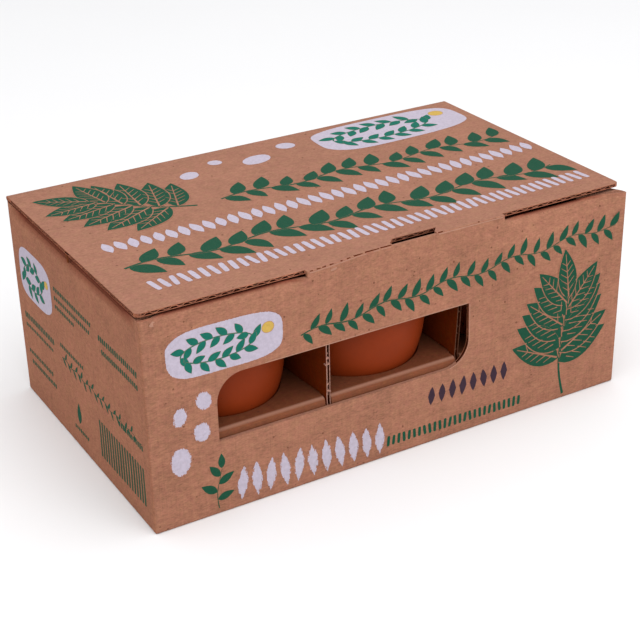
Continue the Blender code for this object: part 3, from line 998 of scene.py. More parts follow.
def add_flaps(shell, inset):
    """Dust flaps, drawn inwards from the side walls' tops and narrower at their ends."""
    reach = FLAP_REACH - inset
    narrowing = 1 - 2 * FLAP_TAPER / (DEPTH - 2 * FLAP_START)

    def on_top(edge, wall):
        """True for the edges of a side wall's top that the flap hangs from."""
        x, y, z = middle(edge)
        return close_to(x, wall) and close_to(z, WALL_TOP) and FLAP_START < y < DEPTH - FLAP_START

    for wall, inwards in ((inset, reach), (LENGTH - inset, -reach)):
        with editing(shell, "EDGE"):
            pick(shell, "edges", lambda edge: on_top(edge, wall))
            bpy.ops.mesh.extrude_edges_move(TRANSFORM_OT_translate={"value": (inwards, 0.0, -FLAP_DROOP)})
            bpy.ops.transform.resize(value=(1.0, narrowing, 1.0),
                                     center_override=at(0.0, DEPTH / 2, WALL_TOP))


def lid_place(place):
    """A point of the lid, moved as the lid's front edge is drawn back with the crease."""
    x, y, _ = place - CAD_LOW
    return place + Vector((0.0, max(y, lean(x, HEIGHT) + CREASE_PRESS * y) - y, 0.0))


def draw_back(shell, inset):
    """Lean the front wall, and draw back the lid's strip behind its crease."""
    for vertex in shell.data.vertices:
        place = vertex.co.copy()
        _, y, z = place - CAD_LOW
        on_lid = z > HEIGHT - inset - SAME_PLACE and y > inset + SAME_PLACE
        vertex.co = (lid_place(place) if on_lid else place) + panel_offset(panel_of(place), place)
    shell.data.update()


def window_cutter(sizes):
    """The window: round at its upper left and lower right corners, square at the two others."""
    left, right = sizes.window_left, sizes.window_right
    bottom, top = sizes.window_bottom, sizes.window_top
    outside, inside = WINDOW_CUT
    cutter = box_piece("window cutter", at(left, outside, bottom), at(right, inside, top), bare("raw_edge"))

    def is_round(edge):
        """True for the edges at the two round corners."""
        x, _, z = middle(edge)
        runs_in = not close_to(edge.verts[0].co.y, edge.verts[1].co.y)
        upper_left = close_to(x, left) and close_to(z, top)
        return runs_in and (upper_left or (close_to(x, right) and close_to(z, bottom)))

    with editing(cutter, "EDGE"):
        pick(cutter, "edges", is_round)
        bpy.ops.mesh.bevel(offset=sizes.window_radius, segments=12, affect="EDGES")
    return cutter


def base_seams():
    """Thin upright boxes that leave the base flaps' seams, along the middle and towards the corners."""
    left, right = Vector((BASE_FLAP, DEPTH / 2)), Vector((LENGTH - BASE_FLAP, DEPTH / 2))
    runs = [(left, right)]
    for meeting, side in ((left, SEAM_MARGIN), (right, LENGTH - SEAM_MARGIN)):
        for y in (SEAM_MARGIN, DEPTH - SEAM_MARGIN):
            corner = Vector((side, y))
            away = (corner - meeting).normalized() * 2 * SEAM_WIDTH
            runs.append((meeting + away, corner))
    slits = []
    for start, end in runs:
        run = end - start
        slit = fresh("seam cutter", bpy.ops.mesh.primitive_cube_add, size=1.0,
                     location=at(*((start + end) / 2), (SEAM_DEPTH - SEAM_OVERRUN) / 2),
                     scale=(run.length, SEAM_WIDTH, SEAM_DEPTH + SEAM_OVERRUN),
                     rotation=(0.0, 0.0, math.atan2(run.y, run.x)))
        slit.data.materials.append(bare("inside"))
        slits.append(slit)
    return slits


def perforation_cutters(inset):
    """Short cuts along the lid's crease."""
    cutters = []
    for start, end in PERFORATIONS:
        y, z = inset + lean((start + end) / 2, HEIGHT), HEIGHT - inset
        low = at(start, y - PERFORATION_REACH, z - PERFORATION_DEPTH)
        high = at(end, y + PERFORATION_DEPTH, z + PERFORATION_REACH)
        # The cuts' faces take the dark divider kraft, painted shade inside the short cuts.
        cutters.append(box_piece("perforation cutter", low, high, bare("divider")))
    return cutters


def take_away(piece, cutter):
    """Cut one piece with another, which is then gone. New faces keep the cutter's finish."""
    applied(piece, "BOOLEAN", operation="DIFFERENCE", solver="EXACT", object=cutter,
            material_mode="TRANSFER")
    bpy.data.objects.remove(cutter, do_unlink=True)


def is_pressed(face, sizes):
    """True for the front's cut edges that are pressed shut: wall tops, the cuts' ends and the window."""
    x, y, z = middle(face)
    if y > SLOT_SETBACK + GRID_CLEAR:
        return False
    if z < ABOVE_WINDOW:
        past_round = x > sizes.window_right - sizes.window_radius / 2
        return not past_round or z >= sizes.window_top - SAME_PLACE
    on_lid = z > HEIGHT - sizes.inset - sizes.board - LID_EDGE_PLAY and face.normal.y < -FACING
    return not on_lid and x > SHUT_CORNER


def press_edges(shell, sizes):
    """Give the pressed edges the outer liner's finish, so that they stay shut."""
    raw = shell.data.materials.find(bare("raw_edge").name)
    with editing(shell):
        pick(shell, "faces", lambda face: face.material_index == raw and is_pressed(face, sizes))
        shell.active_material_index = 0
        bpy.ops.object.material_slot_assign()


def open_raw_edges(piece, liner, groove):
    """Open the cut edges between their two liners."""
    raw = piece.data.materials.find(bare("raw_edge").name)

    def is_open(face):
        """True for the cut faces, apart from the shut ones at the upright folds and the lid's corners."""
        x, y, z = middle(face)
        in_corner = min(x, LENGTH - x) < SHUT_CORNER and min(y, DEPTH - y) < SHUT_CORNER
        in_corner = in_corner and (z < HEIGHT - SHUT_TOP or y > DEPTH / 2)
        slanted = z > HEIGHT - SHUT_TOP and min(abs(face.normal.x), abs(face.normal.y)) > SLANTED
        return face.material_index == raw and not in_corner and not slanted

    with editing(piece):
        pick(piece, "faces", is_open)
        bpy.ops.mesh.inset(thickness=liner, use_even_offset=True)
        bpy.ops.mesh.extrude_region_shrink_fatten(TRANSFORM_OT_shrink_fatten={"value": -groove})
        # The groove's faces take the near-black hollow colour, painted shade inside the groove.
        bpy.ops.mesh.select_more()
        piece.data.materials.append(bare("hollow"))
        piece.active_material_index = len(piece.data.materials) - 1
        bpy.ops.object.material_slot_assign()


def mark_shade(shell):
    """Mark how much painted shade the walls' tops take under the lid's raw edges, red-brown for the lid's
    shadow.
    """
    values = []
    for vertex in shell.data.vertices:
        x, y, z = vertex.co - CAD_LOW
        share, drop, depth = 0.0, 0.0, SHADE_DEPTH
        if min(x, LENGTH - x) < SLOT_SETBACK and FLAP_START < y < DEPTH - FLAP_START:
            share = side_share(y, WALL_TOP)
            drop, depth = SIDE_DROP * share, SIDE_SHADE_DEPTH
        elif y < SLOT_SETBACK and stretch_at(x) in CUTS:
            tuck, drop = front_tuck(x, WALL_TOP)
            share = tuck / FRONT_TUCK
        value = smooth((z - WALL_TOP + drop) / depth + 1.0) * share
        values.append(value if z < WALL_TOP + NEAR_FOLD else 0.0)
    mark(shell, "shade", values)


def board_from_skin(piece, thickness, offset=-1.0):
    """Give a skin the board's thickness, with raw edges all round."""
    for kind in ("outside", "raw_edge", "inside"):
        piece.data.materials.append(bare(kind))
    applied(piece, "SOLIDIFY", thickness=thickness, offset=offset, use_even_offset=True,
            use_quality_normals=True, material_offset=2 if offset < 0 else 0, material_offset_rim=1)


def smooth_faces(piece, angle=35.0):
    """Smooth shading, except over sharp edges."""
    alone(piece)
    bpy.ops.object.shade_smooth_by_angle(angle=math.radians(angle))


class FoldShell(bpy.types.Operator):
    """Fold the carton's board: walls, base, lid and dust flaps with open raw edges"""
    bl_idname = "egg_carton.fold_shell"
    bl_label = "Fold Shell"

    def execute(self, context):
        sizes = context.scene.carton_sizes
        shell = shell_skin(sizes.inset)
        add_flaps(shell, sizes.inset)
        draw_back(shell, sizes.inset)
        board_from_skin(shell, sizes.board)
        round_folds(shell, sizes)
        take_away(shell, window_cutter(sizes))
        take_away(shell, joined("seam cutters", perforation_cutters(sizes.inset) + base_seams()))
        press_edges(shell, sizes)
        open_raw_edges(shell, sizes.liner, sizes.groove)
        mark_shade(shell)
        smooth_faces(shell)
        dress(shell, "carton_board")
        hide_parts("carton")
        return {"FINISHED"}


def wavy_sheet(run, start, end, across, inwards, depth, place_for, draw, swing=SWING, sink=SINK):
    """The board's wavy inner sheet behind a raw edge, from start to end along its run."""
    sizes = bpy.context.scene.carton_sizes
    steps = max(int((end - start) / sizes.pitch * WAVE_STEPS), 2)
    sheet = fresh("sheet", bpy.ops.mesh.primitive_grid_add, x_subdivisions=steps, y_subdivisions=2, size=1.0)
    phase = draw.uniform(0.0, 2 * math.pi)
    for vertex in sheet.data.vertices:
        along = start + (vertex.co.x + 0.5) * (end - start)
        deep = (vertex.co.y + 0.5) * depth
        ragged = jitter(*SHEET_RAGGED, along, phase, 0.0) * (1 - deep / depth)
        turn = 2 * math.pi * along / sizes.pitch + phase + jitter(*WAVE_SHIFT, along, phase, 4.0)
        wave = swing * math.tanh(WAVE_STEEPNESS * math.sin(turn)) - sink
        wave += jitter(*WAVE_UNEVEN, along, phase, 9.0)
        vertex.co = place_for(run * along + across * wave + inwards * (deep + SHEET_RECESS + ragged))
    applied(sheet, "SOLIDIFY", thickness=SHEET, offset=0.0, use_even_offset=True)
    return sheet


class AddFlutes(bpy.types.Operator):
    """Add the wavy inner sheet behind the lid's raw edges and the window's right edge, and torn bits on the
    lid's left edge
    """
    bl_idname = "egg_carton.add_flutes"
    bl_label = "Add Flutes"

    def execute(self, context):
        sizes = context.scene.carton_sizes
        draw = random.Random(EDGE_SEED)
        clear = 2 * sizes.liner
        depth = sizes.groove * SHEET_SHARE
        side, back, up = (Vector(way) for way in ((1, 0, 0), (0, 1, 0), (0, 0, 1)))
        board_middle = sizes.inset + sizes.board / 2
        lid_middle = HEIGHT - board_middle
        sheets = []
        for start, end, setback in ((LID_CORNER, LEFT_CUT_END, LEFT_CUT_SETBACK),
                                    (SLOT_LEFT + SLOT_SLANT[0], SLOT_RIGHT + SLOT_SLANT[1], SLOT_SETBACK),
                                    (RIGHT_CUT_START, LENGTH - LID_CORNER, RIGHT_CUT_SETBACK)):
            moved = self.along_edge("lid", at(0.0, setback, lid_middle))
            sheets.append(wavy_sheet(side, start + clear, end - clear, up, back, depth, moved, draw))
        moved = self.along_edge("lid", at(sizes.inset, 0.0, lid_middle))
        for start, end in LEFT_EDGE_SHEETS:
            sheets.append(wavy_sheet(back, start, end, up, side, depth, moved, draw, SWING / 8, SWING))
        moved = self.along_edge("front", at(sizes.window_right, board_middle, 0.0))
        sheets.append(wavy_sheet(up, sizes.window_bottom + sizes.window_radius, sizes.window_top, back,
                                 side, depth, moved, draw, SWING / 4, 0.0))
        for sheet in sheets:
            sheet.data.materials.append(bare("raw_edge"))
        flutes = joined("carton_flutes", sheets + self.torn_bits(draw))
        smooth_faces(flutes, 60.0)
        dress(flutes, "carton_board")
        return {"FINISHED"}

    def along_edge(self, panel, base):
        """Places along a raw edge of the lid or of the front wall, moved as that panel is."""
        def moved(place):
            """A place of the sheet, moved as the board in front of it is."""
            start = lid_place(base + place) if panel == "lid" else base + place
            return start + panel_offset(panel, base + place)
        return moved

    def torn_bits(self, draw):
        """Small torn bits that hang from the lid's left edge."""
        bits = []
        for from_front, top, size in TORN_BITS:
            low = at(TORN_DEPTH, from_front, top - size)
            high = low + Vector((TORN_DEPTH, draw.uniform(*TORN_WIDTHS), size))
            bit = box_piece("torn bit", low, high, bare("inside"))
            turn = Matrix.Rotation(draw.uniform(-TORN_TURN, TORN_TURN), 4, "X")
            bit.data.transform(Matrix.Translation(low) @ turn @ Matrix.Translation(-low))
            bits.append(bit)
        return bits


def egg_radius(width, level):
    """An egg's radius at a level from -1, its foot, to 1, its top."""
    taper = bpy.context.scene.egg_sizes.taper
    return width / 2 * math.sqrt(max(1 - level * level, 0.0)) * (1 + taper * level)


def egg_parts(height):
    """An egg's height above and below its widest level."""
    upper = height * bpy.context.scene.egg_sizes.upper
    return upper, height - upper


class FoldInsert(bpy.types.Operator):
    """Fold the insert: a shelf with six holes, and a flange along its front and back"""
    bl_idname = "egg_carton.fold_insert"
    bl_label = "Fold Insert"

    def execute(self, context):
        sizes = context.scene.insert_sizes
        low = at(INSERT_EDGE, INSERT_EDGE, INSERT_EDGE)
        high = at(LENGTH - INSERT_EDGE, DEPTH - INSERT_EDGE, SHELF_TOP)
        insert = box_piece("egg_insert", low, high)
        with editing(insert):
            pick(insert, "faces", lambda face: abs(face.normal.x) > FACING or face.normal.z < -FACING)
            bpy.ops.mesh.delete(type="FACE")
        with editing(insert, "EDGE"):
            pick(insert, "edges", lambda edge: close_to(middle(edge).z, SHELF_TOP)
                 and close_to(middle(edge).x, LENGTH / 2))
            bpy.ops.mesh.bevel(offset=sizes.fold, segments=6, affect="EDGES")
        board_from_skin(insert, sizes.board)
        take_away(insert, joined("hole cutters", self.holes(sizes) + self.slots(sizes)))
        smooth_faces(insert)
        refinish(insert, bare("insert"), bare("raw_edge"), bare("insert"))
        dress(insert, "insert_board")
        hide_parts("insert")
        return {"FINISHED"}

    def holes(self, sizes):
        """Cutters of the six egg holes."""
        cutters = []
        for from_left, from_front, width, height, widest, _, _ in EGGS.values():
            radius = egg_radius(width, (SHELF_TOP - widest) / egg_parts(height)[1]) + sizes.hole_play
            hole = fresh("hole cutter", bpy.ops.mesh.primitive_cylinder_add, vertices=72, radius=radius,
                         depth=HOLE_CUT, location=at(from_left, from_front, SHELF_TOP))
            hole.data.materials.append(bare("raw_edge"))
            cutters.append(hole)
        return cutters

    def slots(self, sizes):
        """Cutters of the four slots that take the dividers' tabs."""
        cutters = []
        reach = INSERT_EDGE + sizes.tab + sizes.slot_play
        half = sizes.board / 2 + sizes.slot_play
        for left in (True, False):
            for start, end in ((-SLOT_OVERRUN, reach), (DEPTH - reach, DEPTH + SLOT_OVERRUN)):
                line = divider_line((start + end) / 2, left)
                low = at(line - half, start, TAB_BOTTOM - sizes.slot_play)
                high = at(line + half, end, SLOT_CUT_TOP)
                cutters.append(box_piece("slot cutter", low, high, bare("raw_edge")))
        return cutters


def divider_line(from_front, left):
    """A divider's place from the left wall: the left one is pushed aside by the egg beside it."""
    if not left:
        return RIGHT_DIVIDER
    sizes = bpy.context.scene.insert_sizes
    bow = sizes.bow * math.exp(-((from_front - BOW_PLACE) / BOW_LENGTH) ** 2)
    kick = sizes.kick * math.exp(-(from_front / KICK_LENGTH) ** 2)
    return LEFT_DIVIDER - bow + kick


class SlotDividers(bpy.types.Operator):
    """Set the two dividers upright in the insert's slots"""
    bl_idname = "egg_carton.slot_dividers"
    bl_label = "Slot Dividers"

    def execute(self, context):
        for name, left in (("divider_left", True), ("divider_right", False)):
            self.divider(context.scene.insert_sizes, name, left)
        return {"FINISHED"}

    def divider(self, sizes, name, left):
        """One divider: a bent grid with a tab at each end, given its thickness and raw edges."""
        near, far, foot = INSERT_EDGE, DEPTH - INSERT_EDGE, SHELF_TOP + FOOT_GAP
        across, upwards = DIVIDER_GRID
        span = far - near - 2 * sizes.tab
        inner = [near + sizes.tab + step * span / across for step in range(across + 1)]
        columns = [near] + inner + [far]
        rows = [TAB_BOTTOM] + [foot + (DIVIDER_TOP - foot) * step / upwards for step in range(upwards + 1)]
        divider = fresh(name + "_board", bpy.ops.mesh.primitive_grid_add, size=1.0,
                        x_subdivisions=len(columns) - 1, y_subdivisions=len(rows) - 1)
        ordered = sorted(divider.data.vertices,
                         key=lambda vertex: (round(vertex.co.y, 6), round(vertex.co.x, 6)))
        for number, vertex in enumerate(ordered):
            y = columns[number % len(columns)]
            z = rows[number // len(columns)]
            x = divider_line(y, left) + (0.0 if left else RIGHT_DIVIDER_TILT * (z - foot))
            moved = lean(x, z) + (0.0 if left or z < SHELF_TOP else sizes.set_back)
            if y == near:
                x += jitter(*DIVIDER_RAGGED, z, float(left), 3.0)
            vertex.co = at(x, y + moved * max(1.0 - (y - near) / DIVIDER_EASE, 0.0), z)
        with editing(divider):
            pick(divider, "faces", lambda face: middle(face).z < foot - SAME_PLACE
                 and near + sizes.tab < middle(face).y < far - sizes.tab)
            bpy.ops.mesh.delete(type="FACE")
        board_from_skin(divider, sizes.board, 0.0)
        open_raw_edges(divider, sizes.liner, sizes.groove)
        divider = joined(divider.name, [divider, self.web(sizes, left, near, foot)])
        smooth_faces(divider)
        # The right divider's raw edge takes the darker raw-edge colour, painted shade.
        edge = bare("raw_inside" if left else "raw_shaded")
        refinish(divider, bare("divider"), edge, bare("divider"))
        dress(divider, "insert_board")
        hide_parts(name)

    def web(self, sizes, left, near, foot):
        """The wavy sheet's edge in the hollow of a divider's front edge, with torn bits across it."""
        draw = random.Random(EDGE_SEED + left)
        centre = divider_line(near, left)
        near += 0.0 if left else sizes.set_back
        nearest, deepest = WEB_DEPTHS
        parts = [box_piece("web", at(centre - WEB_HALF, near + nearest, foot),
                           at(centre + WEB_HALF, near + deepest, DIVIDER_TOP - WEB_TOP_GAP))]
        for number in range(BITS):
            z = foot + (number + draw.uniform(0.1, 0.9)) * BIT_SPACING
            low = at(centre - BIT_CORNER[0], near + BIT_CORNER[1], z)
            size = Vector((draw.uniform(*BIT_WIDTHS), BIT_DEPTH, draw.uniform(*BIT_HEIGHTS)))
            parts.append(box_piece("bit", low, low + size))
        for z, to_left, to_right, tall, slant in DIVIDER_FIBRES if left else ():
            low = at(centre - to_left, near - FIBRE_DEPTHS[0], z)
            fibre = box_piece("fibre", low, at(centre + to_right, near + FIBRE_DEPTHS[1], z + tall))
            for vertex in fibre.data.vertices:
                vertex.co.z += slant * (vertex.co.x - low.x)
            parts.append(fibre)
        web = joined("web", parts)
        web.data.materials.append(bare("raw_edge"))
        for vertex in web.data.vertices:
            x, _, z = vertex.co - CAD_LOW
            vertex.co.x += 0.0 if left else RIGHT_DIVIDER_TILT * (z - foot)
            vertex.co.y += lean(x, z)
            vertex.co.x += jitter(*WEB_RAGGED, z, float(left), 0.0)
        return web


class SetEggs(bpy.types.Operator):
    """Set six eggs in the insert's holes, blunt end up"""
    bl_idname = "egg_carton.set_eggs"
    bl_label = "Set Eggs"

    def execute(self, context):
        for number, (node, values) in enumerate(EGGS.items(), 1):
            from_left, from_front, width, height, widest, tip_x, tip_y = values
            upper, lower = egg_parts(height)
            egg = fresh(node + "_shell", bpy.ops.mesh.primitive_uv_sphere_add, segments=96, ring_count=64,
                        radius=1.0)
            for vertex in egg.data.vertices:
                level = vertex.co.z
                turn = math.atan2(vertex.co.y, vertex.co.x)
                radius = egg_radius(width, level)
                vertex.co = (radius * math.cos(turn), radius * math.sin(turn),
                             level * (upper if level > 0 else lower))
            egg.location = at(from_left, from_front, widest)
            egg.rotation_euler = (math.radians(tip_x), math.radians(tip_y), 0.0)
            alone(egg)
            bpy.ops.object.transform_apply(location=True, rotation=True, scale=True)
            bpy.ops.object.shade_smooth()
            dress(egg, "egg_shell", finish_named("egg_shell_%d" % number, shell_nodes, number))
            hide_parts(node)
        return {"FINISHED"}


def ways(angle):
    """Unit vectors along an angle and to its left."""
    along = Vector((math.cos(angle), math.sin(angle)))
    return along, Vector((-along.y, along.x))


def ribbon(points, start_width, end_width):
    """Outline of a stroke along some points that changes its width evenly."""
    left, right = [], []
    for number, point in enumerate(points):
        after = points[min(number + 1, len(points) - 1)]
        before = points[max(number - 1, 0)]
        heading = (after - before).normalized()
        half = (start_width + (end_width - start_width) * number / (len(points) - 1)) / 2
        aside = Vector((-heading.y, heading.x)) * half
        left.append(point + aside)
        right.append(point - aside)
    return right + left[::-1]


def leaf(base, angle, size, width, steps=9, fullest=0.8, bend=0.0):
    """Outline of a pointed leaf from its base."""
    base, (along, aside) = Vector(base), ways(angle)
    right, left = [], []
    for step in range(steps + 1):
        share = step / steps
        half = width / 2 * math.sin(math.pi * share ** fullest) ** 0.9 if 0 < step < steps else 0.0
        point = base + along * size * share + aside * bend * size * math.sin(math.pi * share)
        right.append(point - aside * half)
        if half:
            left.append(point + aside * half)
    return right + left[::-1]


def veins(base, angle, size, width, pairs=5):
    """Thin strokes on a leaf: its midrib and pairs of side veins."""
    along, _ = ways(angle)
    midrib = [base + along * size * share for share in (0.04, 0.4, 0.88)]
    strokes = [ribbon(midrib, size * 0.030, size * 0.012)]
    for number in range(pairs):
        share = 0.16 + 0.62 * number / pairs
        reach = width * 0.40 * math.sin(math.pi * (share + 0.08) ** 0.8)
        for side in (-1, 1):
            turn = angle + side * math.radians(48.0)
            foot = base + along * size * share
            tip = foot + ways(turn)[0] * reach * 1.15
            strokes.append(ribbon([foot, (foot + tip) / 2, tip], size * 0.016, size * 0.008))
    return strokes


def oval(draw, centre, span, width, angle=0.0, steps=28, power=2.0):
    """Outline of an oval, or of a rounded field for a higher power, with a slightly uneven edge."""
    phase = draw.uniform(0.0, 60.0)
    along, aside = ways(angle)
    amount, closeness = OVAL_UNEVEN
    points = []
    for step in range(steps):
        turn = 2 * math.pi * step / steps
        c, s = math.cos(turn), math.sin(turn)
        uneven = 1 + amount * noise.noise(Vector((c * closeness, s * closeness, phase)))
        x = math.copysign(abs(c) ** (2 / power), c) * span / 2 * uneven
        y = math.copysign(abs(s) ** (2 / power), s) * width / 2 * uneven
        points.append(Vector(centre) + along * x + aside * y)
    return points


def ovals(draw, *rows):
    """Outlines of several ovals: their middles, then the rest of their values."""
    return [oval(draw, (x, y), *values) for x, y, *values in rows]


def vine(draw, start, end, height, spacing, slim=0.50, waves=3.0):
    """Outlines of a wavy stem with leaves on both its sides."""
    start, run = Vector(start), Vector(end) - Vector(start)
    heading = math.atan2(run.y, run.x)
    aside = Vector((-run.y, run.x)).normalized()

    def on_stem(share):
        """A point of the stem, from 0 at its foot to 1 at its end."""
        return start + run * share + aside * height * 0.10 * math.sin(2 * math.pi * waves * share)

    shapes = [ribbon([on_stem(step / 48) for step in range(49)], height * 0.055, height * 0.030)]
    count = int(run.length / spacing)
    for number in range(count + 1):
        side = 1 if number % 2 else -1
        base = on_stem((number + 0.3) / (count + 1))
        size = height * draw.uniform(0.56, 0.70)
        turn = heading + side * math.radians(draw.uniform(44.0, 62.0))
        shapes.append(leaf(base, turn, size, size * slim, bend=side * -0.06))
    return shapes


def row(draw, start, end, height, spacing, shape):
    """Outlines of like marks side by side along a line."""
    start, run = Vector(start), Vector(end) - Vector(start)
    heading = math.atan2(run.y, run.x)
    count = int(run.length / spacing)
    shapes = []
    for number in range(count + 1):
        centre = start + run * number / count
        tilt = heading + math.radians(90.0 + draw.uniform(-9.0, 9.0))
        size = height * draw.uniform(0.88, 1.0)
        if shape == "petal":
            base = centre - ways(tilt)[0] * size / 2
            shapes.append(leaf(base, tilt, size, spacing * 0.84, steps=10, fullest=1.0))
        else:
            share, steps, power = MARKS[shape]
            shapes.append(oval(draw, centre, size, spacing * share, tilt, steps, power))
    return shapes


def is_inside(point, outline):
    """True if a point lies inside a closed outline."""
    crossings = 0
    for first, second in zip(outline, outline[1:] + outline[:1]):
        if (first.y > point.y) != (second.y > point.y):
            share = (point.y - first.y) / (second.y - first.y)
            crossings += point.x < first.x + share * (second.x - first.x)
    return crossings % 2 == 1


def plant(draw, foot, heading, height, leaves, leaf_size, slim, lowest=0.22):
    """Outlines of a leafy plant, and of the thin lines on and between its leaves."""
    foot, (along, aside) = Vector(foot), ways(heading)

    def on_stem(share):
        """A point of the stem, from 0 at its foot to 1 at its end."""
        return foot + along * height * share + aside * height * 0.05 * math.sin(math.pi * 1.4 * share)

    shapes = [ribbon([on_stem(step / 12) for step in range(13)], height * 0.030, height * 0.012)]
    blades, strokes = [], []
    for number in range(leaves):
        share = lowest + (0.96 - lowest) * number / (leaves - 1)
        side = 1 if number % 2 else -1
        spread = math.radians(draw.uniform(-4.0, 4.0) + 82.0 - 48.0 * share)
        size = leaf_size * (1.05 - 0.38 * abs(share - 0.45))
        turn = heading + (math.radians(4.0) if number == leaves - 1 else side * spread)
        blade = leaf(on_stem(share), turn, size, size * slim, steps=12)
        blades.append(blade)
        rim = [ribbon(pair, size * 0.016, size * 0.016) for pair in zip(blade, blade[1:])]
        strokes.append(veins(on_stem(share), turn, size, size * slim) + rim)
    lines = []
    for number, group in enumerate(strokes):
        for stroke in group:
            centre = sum(stroke, Vector((0.0, 0.0))) / len(stroke)
            if not any(is_inside(centre, blade) for blade in blades[number + 1:]):
                lines.append(stroke)
    return shapes + blades, lines


def wreath(draw, centre, span, width, leaves, size, slim=0.50):
    """Outlines of an oval ring with leaves at even distances along it."""
    ring = [Vector(centre) + Vector((math.cos(turn) * span / 2, math.sin(turn) * width / 2))
            for turn in (2 * math.pi * step / 240 for step in range(240))]
    whole = sum((second - first).length for first, second in zip(ring, ring[1:] + ring[:1]))
    shapes = [ribbon(ring[::6], size * 0.09, size * 0.09)]
    walked = 0.0
    number = 0
    for first, second in zip(ring, ring[1:] + ring[:1]):
        if walked >= number * whole / leaves and number < leaves:
            side = 1 if number % 2 else -1
            heading = math.atan2(second.y - first.y, second.x - first.x)
            turn = heading + math.radians(draw.uniform(30.0, 44.0)) * side
            shapes.append(leaf(first, turn, size * draw.uniform(0.9, 1.1), size * slim))
            number += 1
        walked += (second - first).length
    return shapes


def on_panel(panel, point, sizes):
    """A point of a drawing, set on its panel: first to the right, then up, then outwards."""
    if panel == "lid":
        return at(point.x, point.y, HEIGHT - sizes.inset + point.z)
    if panel == "front":
        return at(point.x, sizes.inset - point.z, point.y)
    return at(sizes.inset - point.z, DEPTH - point.x, point.y)


def lay_print(panel, name, outlines, kind, rim=0.0, lift=ON_BOARD):
    """Print one ink on a panel: thin closed shapes, drawn in mm, that follow the board's unevenness."""
    sizes = bpy.context.scene.carton_sizes
    shapes = []
    for order, outline in enumerate(outlines):
        bpy.ops.mesh.primitive_circle_add(vertices=len(outline), fill_type="NGON")
        shapes.append(bpy.context.object)
        for vertex, point in zip(shapes[-1].data.vertices, outline):
            vertex.co = (point[0] / 1000, point[1] / 1000, lift + INK_STEP * (order % 6))
    ink = joined(name, shapes)
    with editing(ink):
        bpy.ops.mesh.select_all(action="SELECT")
        bpy.ops.mesh.normals_make_consistent(inside=False)
    with editing(ink):
        pick(ink, "faces", lambda face: face.normal.z < 0)
        bpy.ops.mesh.flip_normals()
        if rim:
            bpy.ops.mesh.select_all(action="SELECT")
            bpy.ops.mesh.inset(thickness=rim, use_individual=True, use_even_offset=False)
    mark(ink, "rim", [float(vertex.select) if rim else 1.0 for vertex in ink.data.vertices])
    for vertex in ink.data.vertices:
        vertex.co = on_panel(panel, vertex.co, sizes)
    with editing(ink):
        for axis in PANELS[panel][0]:
            slice_up(ink, axis, places(EXTENT[axis]))
    for vertex in ink.data.vertices:
        vertex.co += panel_offset(panel, vertex.co)
    ink.data.update()
    applied(ink, "SOLIDIFY", thickness=INK_THICKNESS, offset=-1.0)
    dress(ink, "carton_board", printed(kind) if kind in INKS else bare(kind))


class PrintLid(bpy.types.Operator):
    """Print the lid: a large sprig, ovals, a white field with a wreath, and four rows"""
    bl_idname = "egg_carton.print_lid"
    bl_label = "Print Lid"

    def execute(self, context):
        draw = random.Random(PRINT_SEED)
        lay = partial(lay_print, "lid")
        sprig, lines = plant(draw, (45.5, 58.5), math.radians(146.0), 34.0, 11, 20.0, 0.46, 0.16)
        green = sprig + vine(draw, (53.5, 59.0), (154.0, 58.0), 14.5, 3.9)
        green += vine(draw, (9.0, 28.5), (151.5, 27.5), 17.0, 4.4, waves=4.0)
        lay("lid_print_green", green, "green", 0.00018)
        lay("lid_print_veins", lines, "outside", lift=ON_INK)
        white = ovals(draw, (53.5, 80.5, 6.6, 5.4, 0.4), (65.0, 86.0, 4.8, 4.0, -0.3),
                      (77.5, 81.5, 10.4, 6.6, 0.2), (91.0, 87.0, 6.6, 5.2, -0.2),
                      (128.0, 82.5, 55.0, 21.5, 0.0, 64, 3.6))
        white += row(draw, (10.5, 43.5), (155.0, 44.5), 8.0, 3.9, "petal")
        white += row(draw, (11.5, 15.0), (154.0, 15.8), 6.8, 2.9, "bar")
        lay("lid_print_white", white, "white", 0.00032)
        lay("lid_print_teal", wreath(draw, (124.5, 82.5), 36.0, 10.5, 26, 6.0), "teal", 0.00015, ON_INK)
        lay("lid_print_yellow", ovals(draw, (149.0, 86.5, 5.4, 4.6)), "yellow", 0.00040, ON_INK)
        return {"FINISHED"}


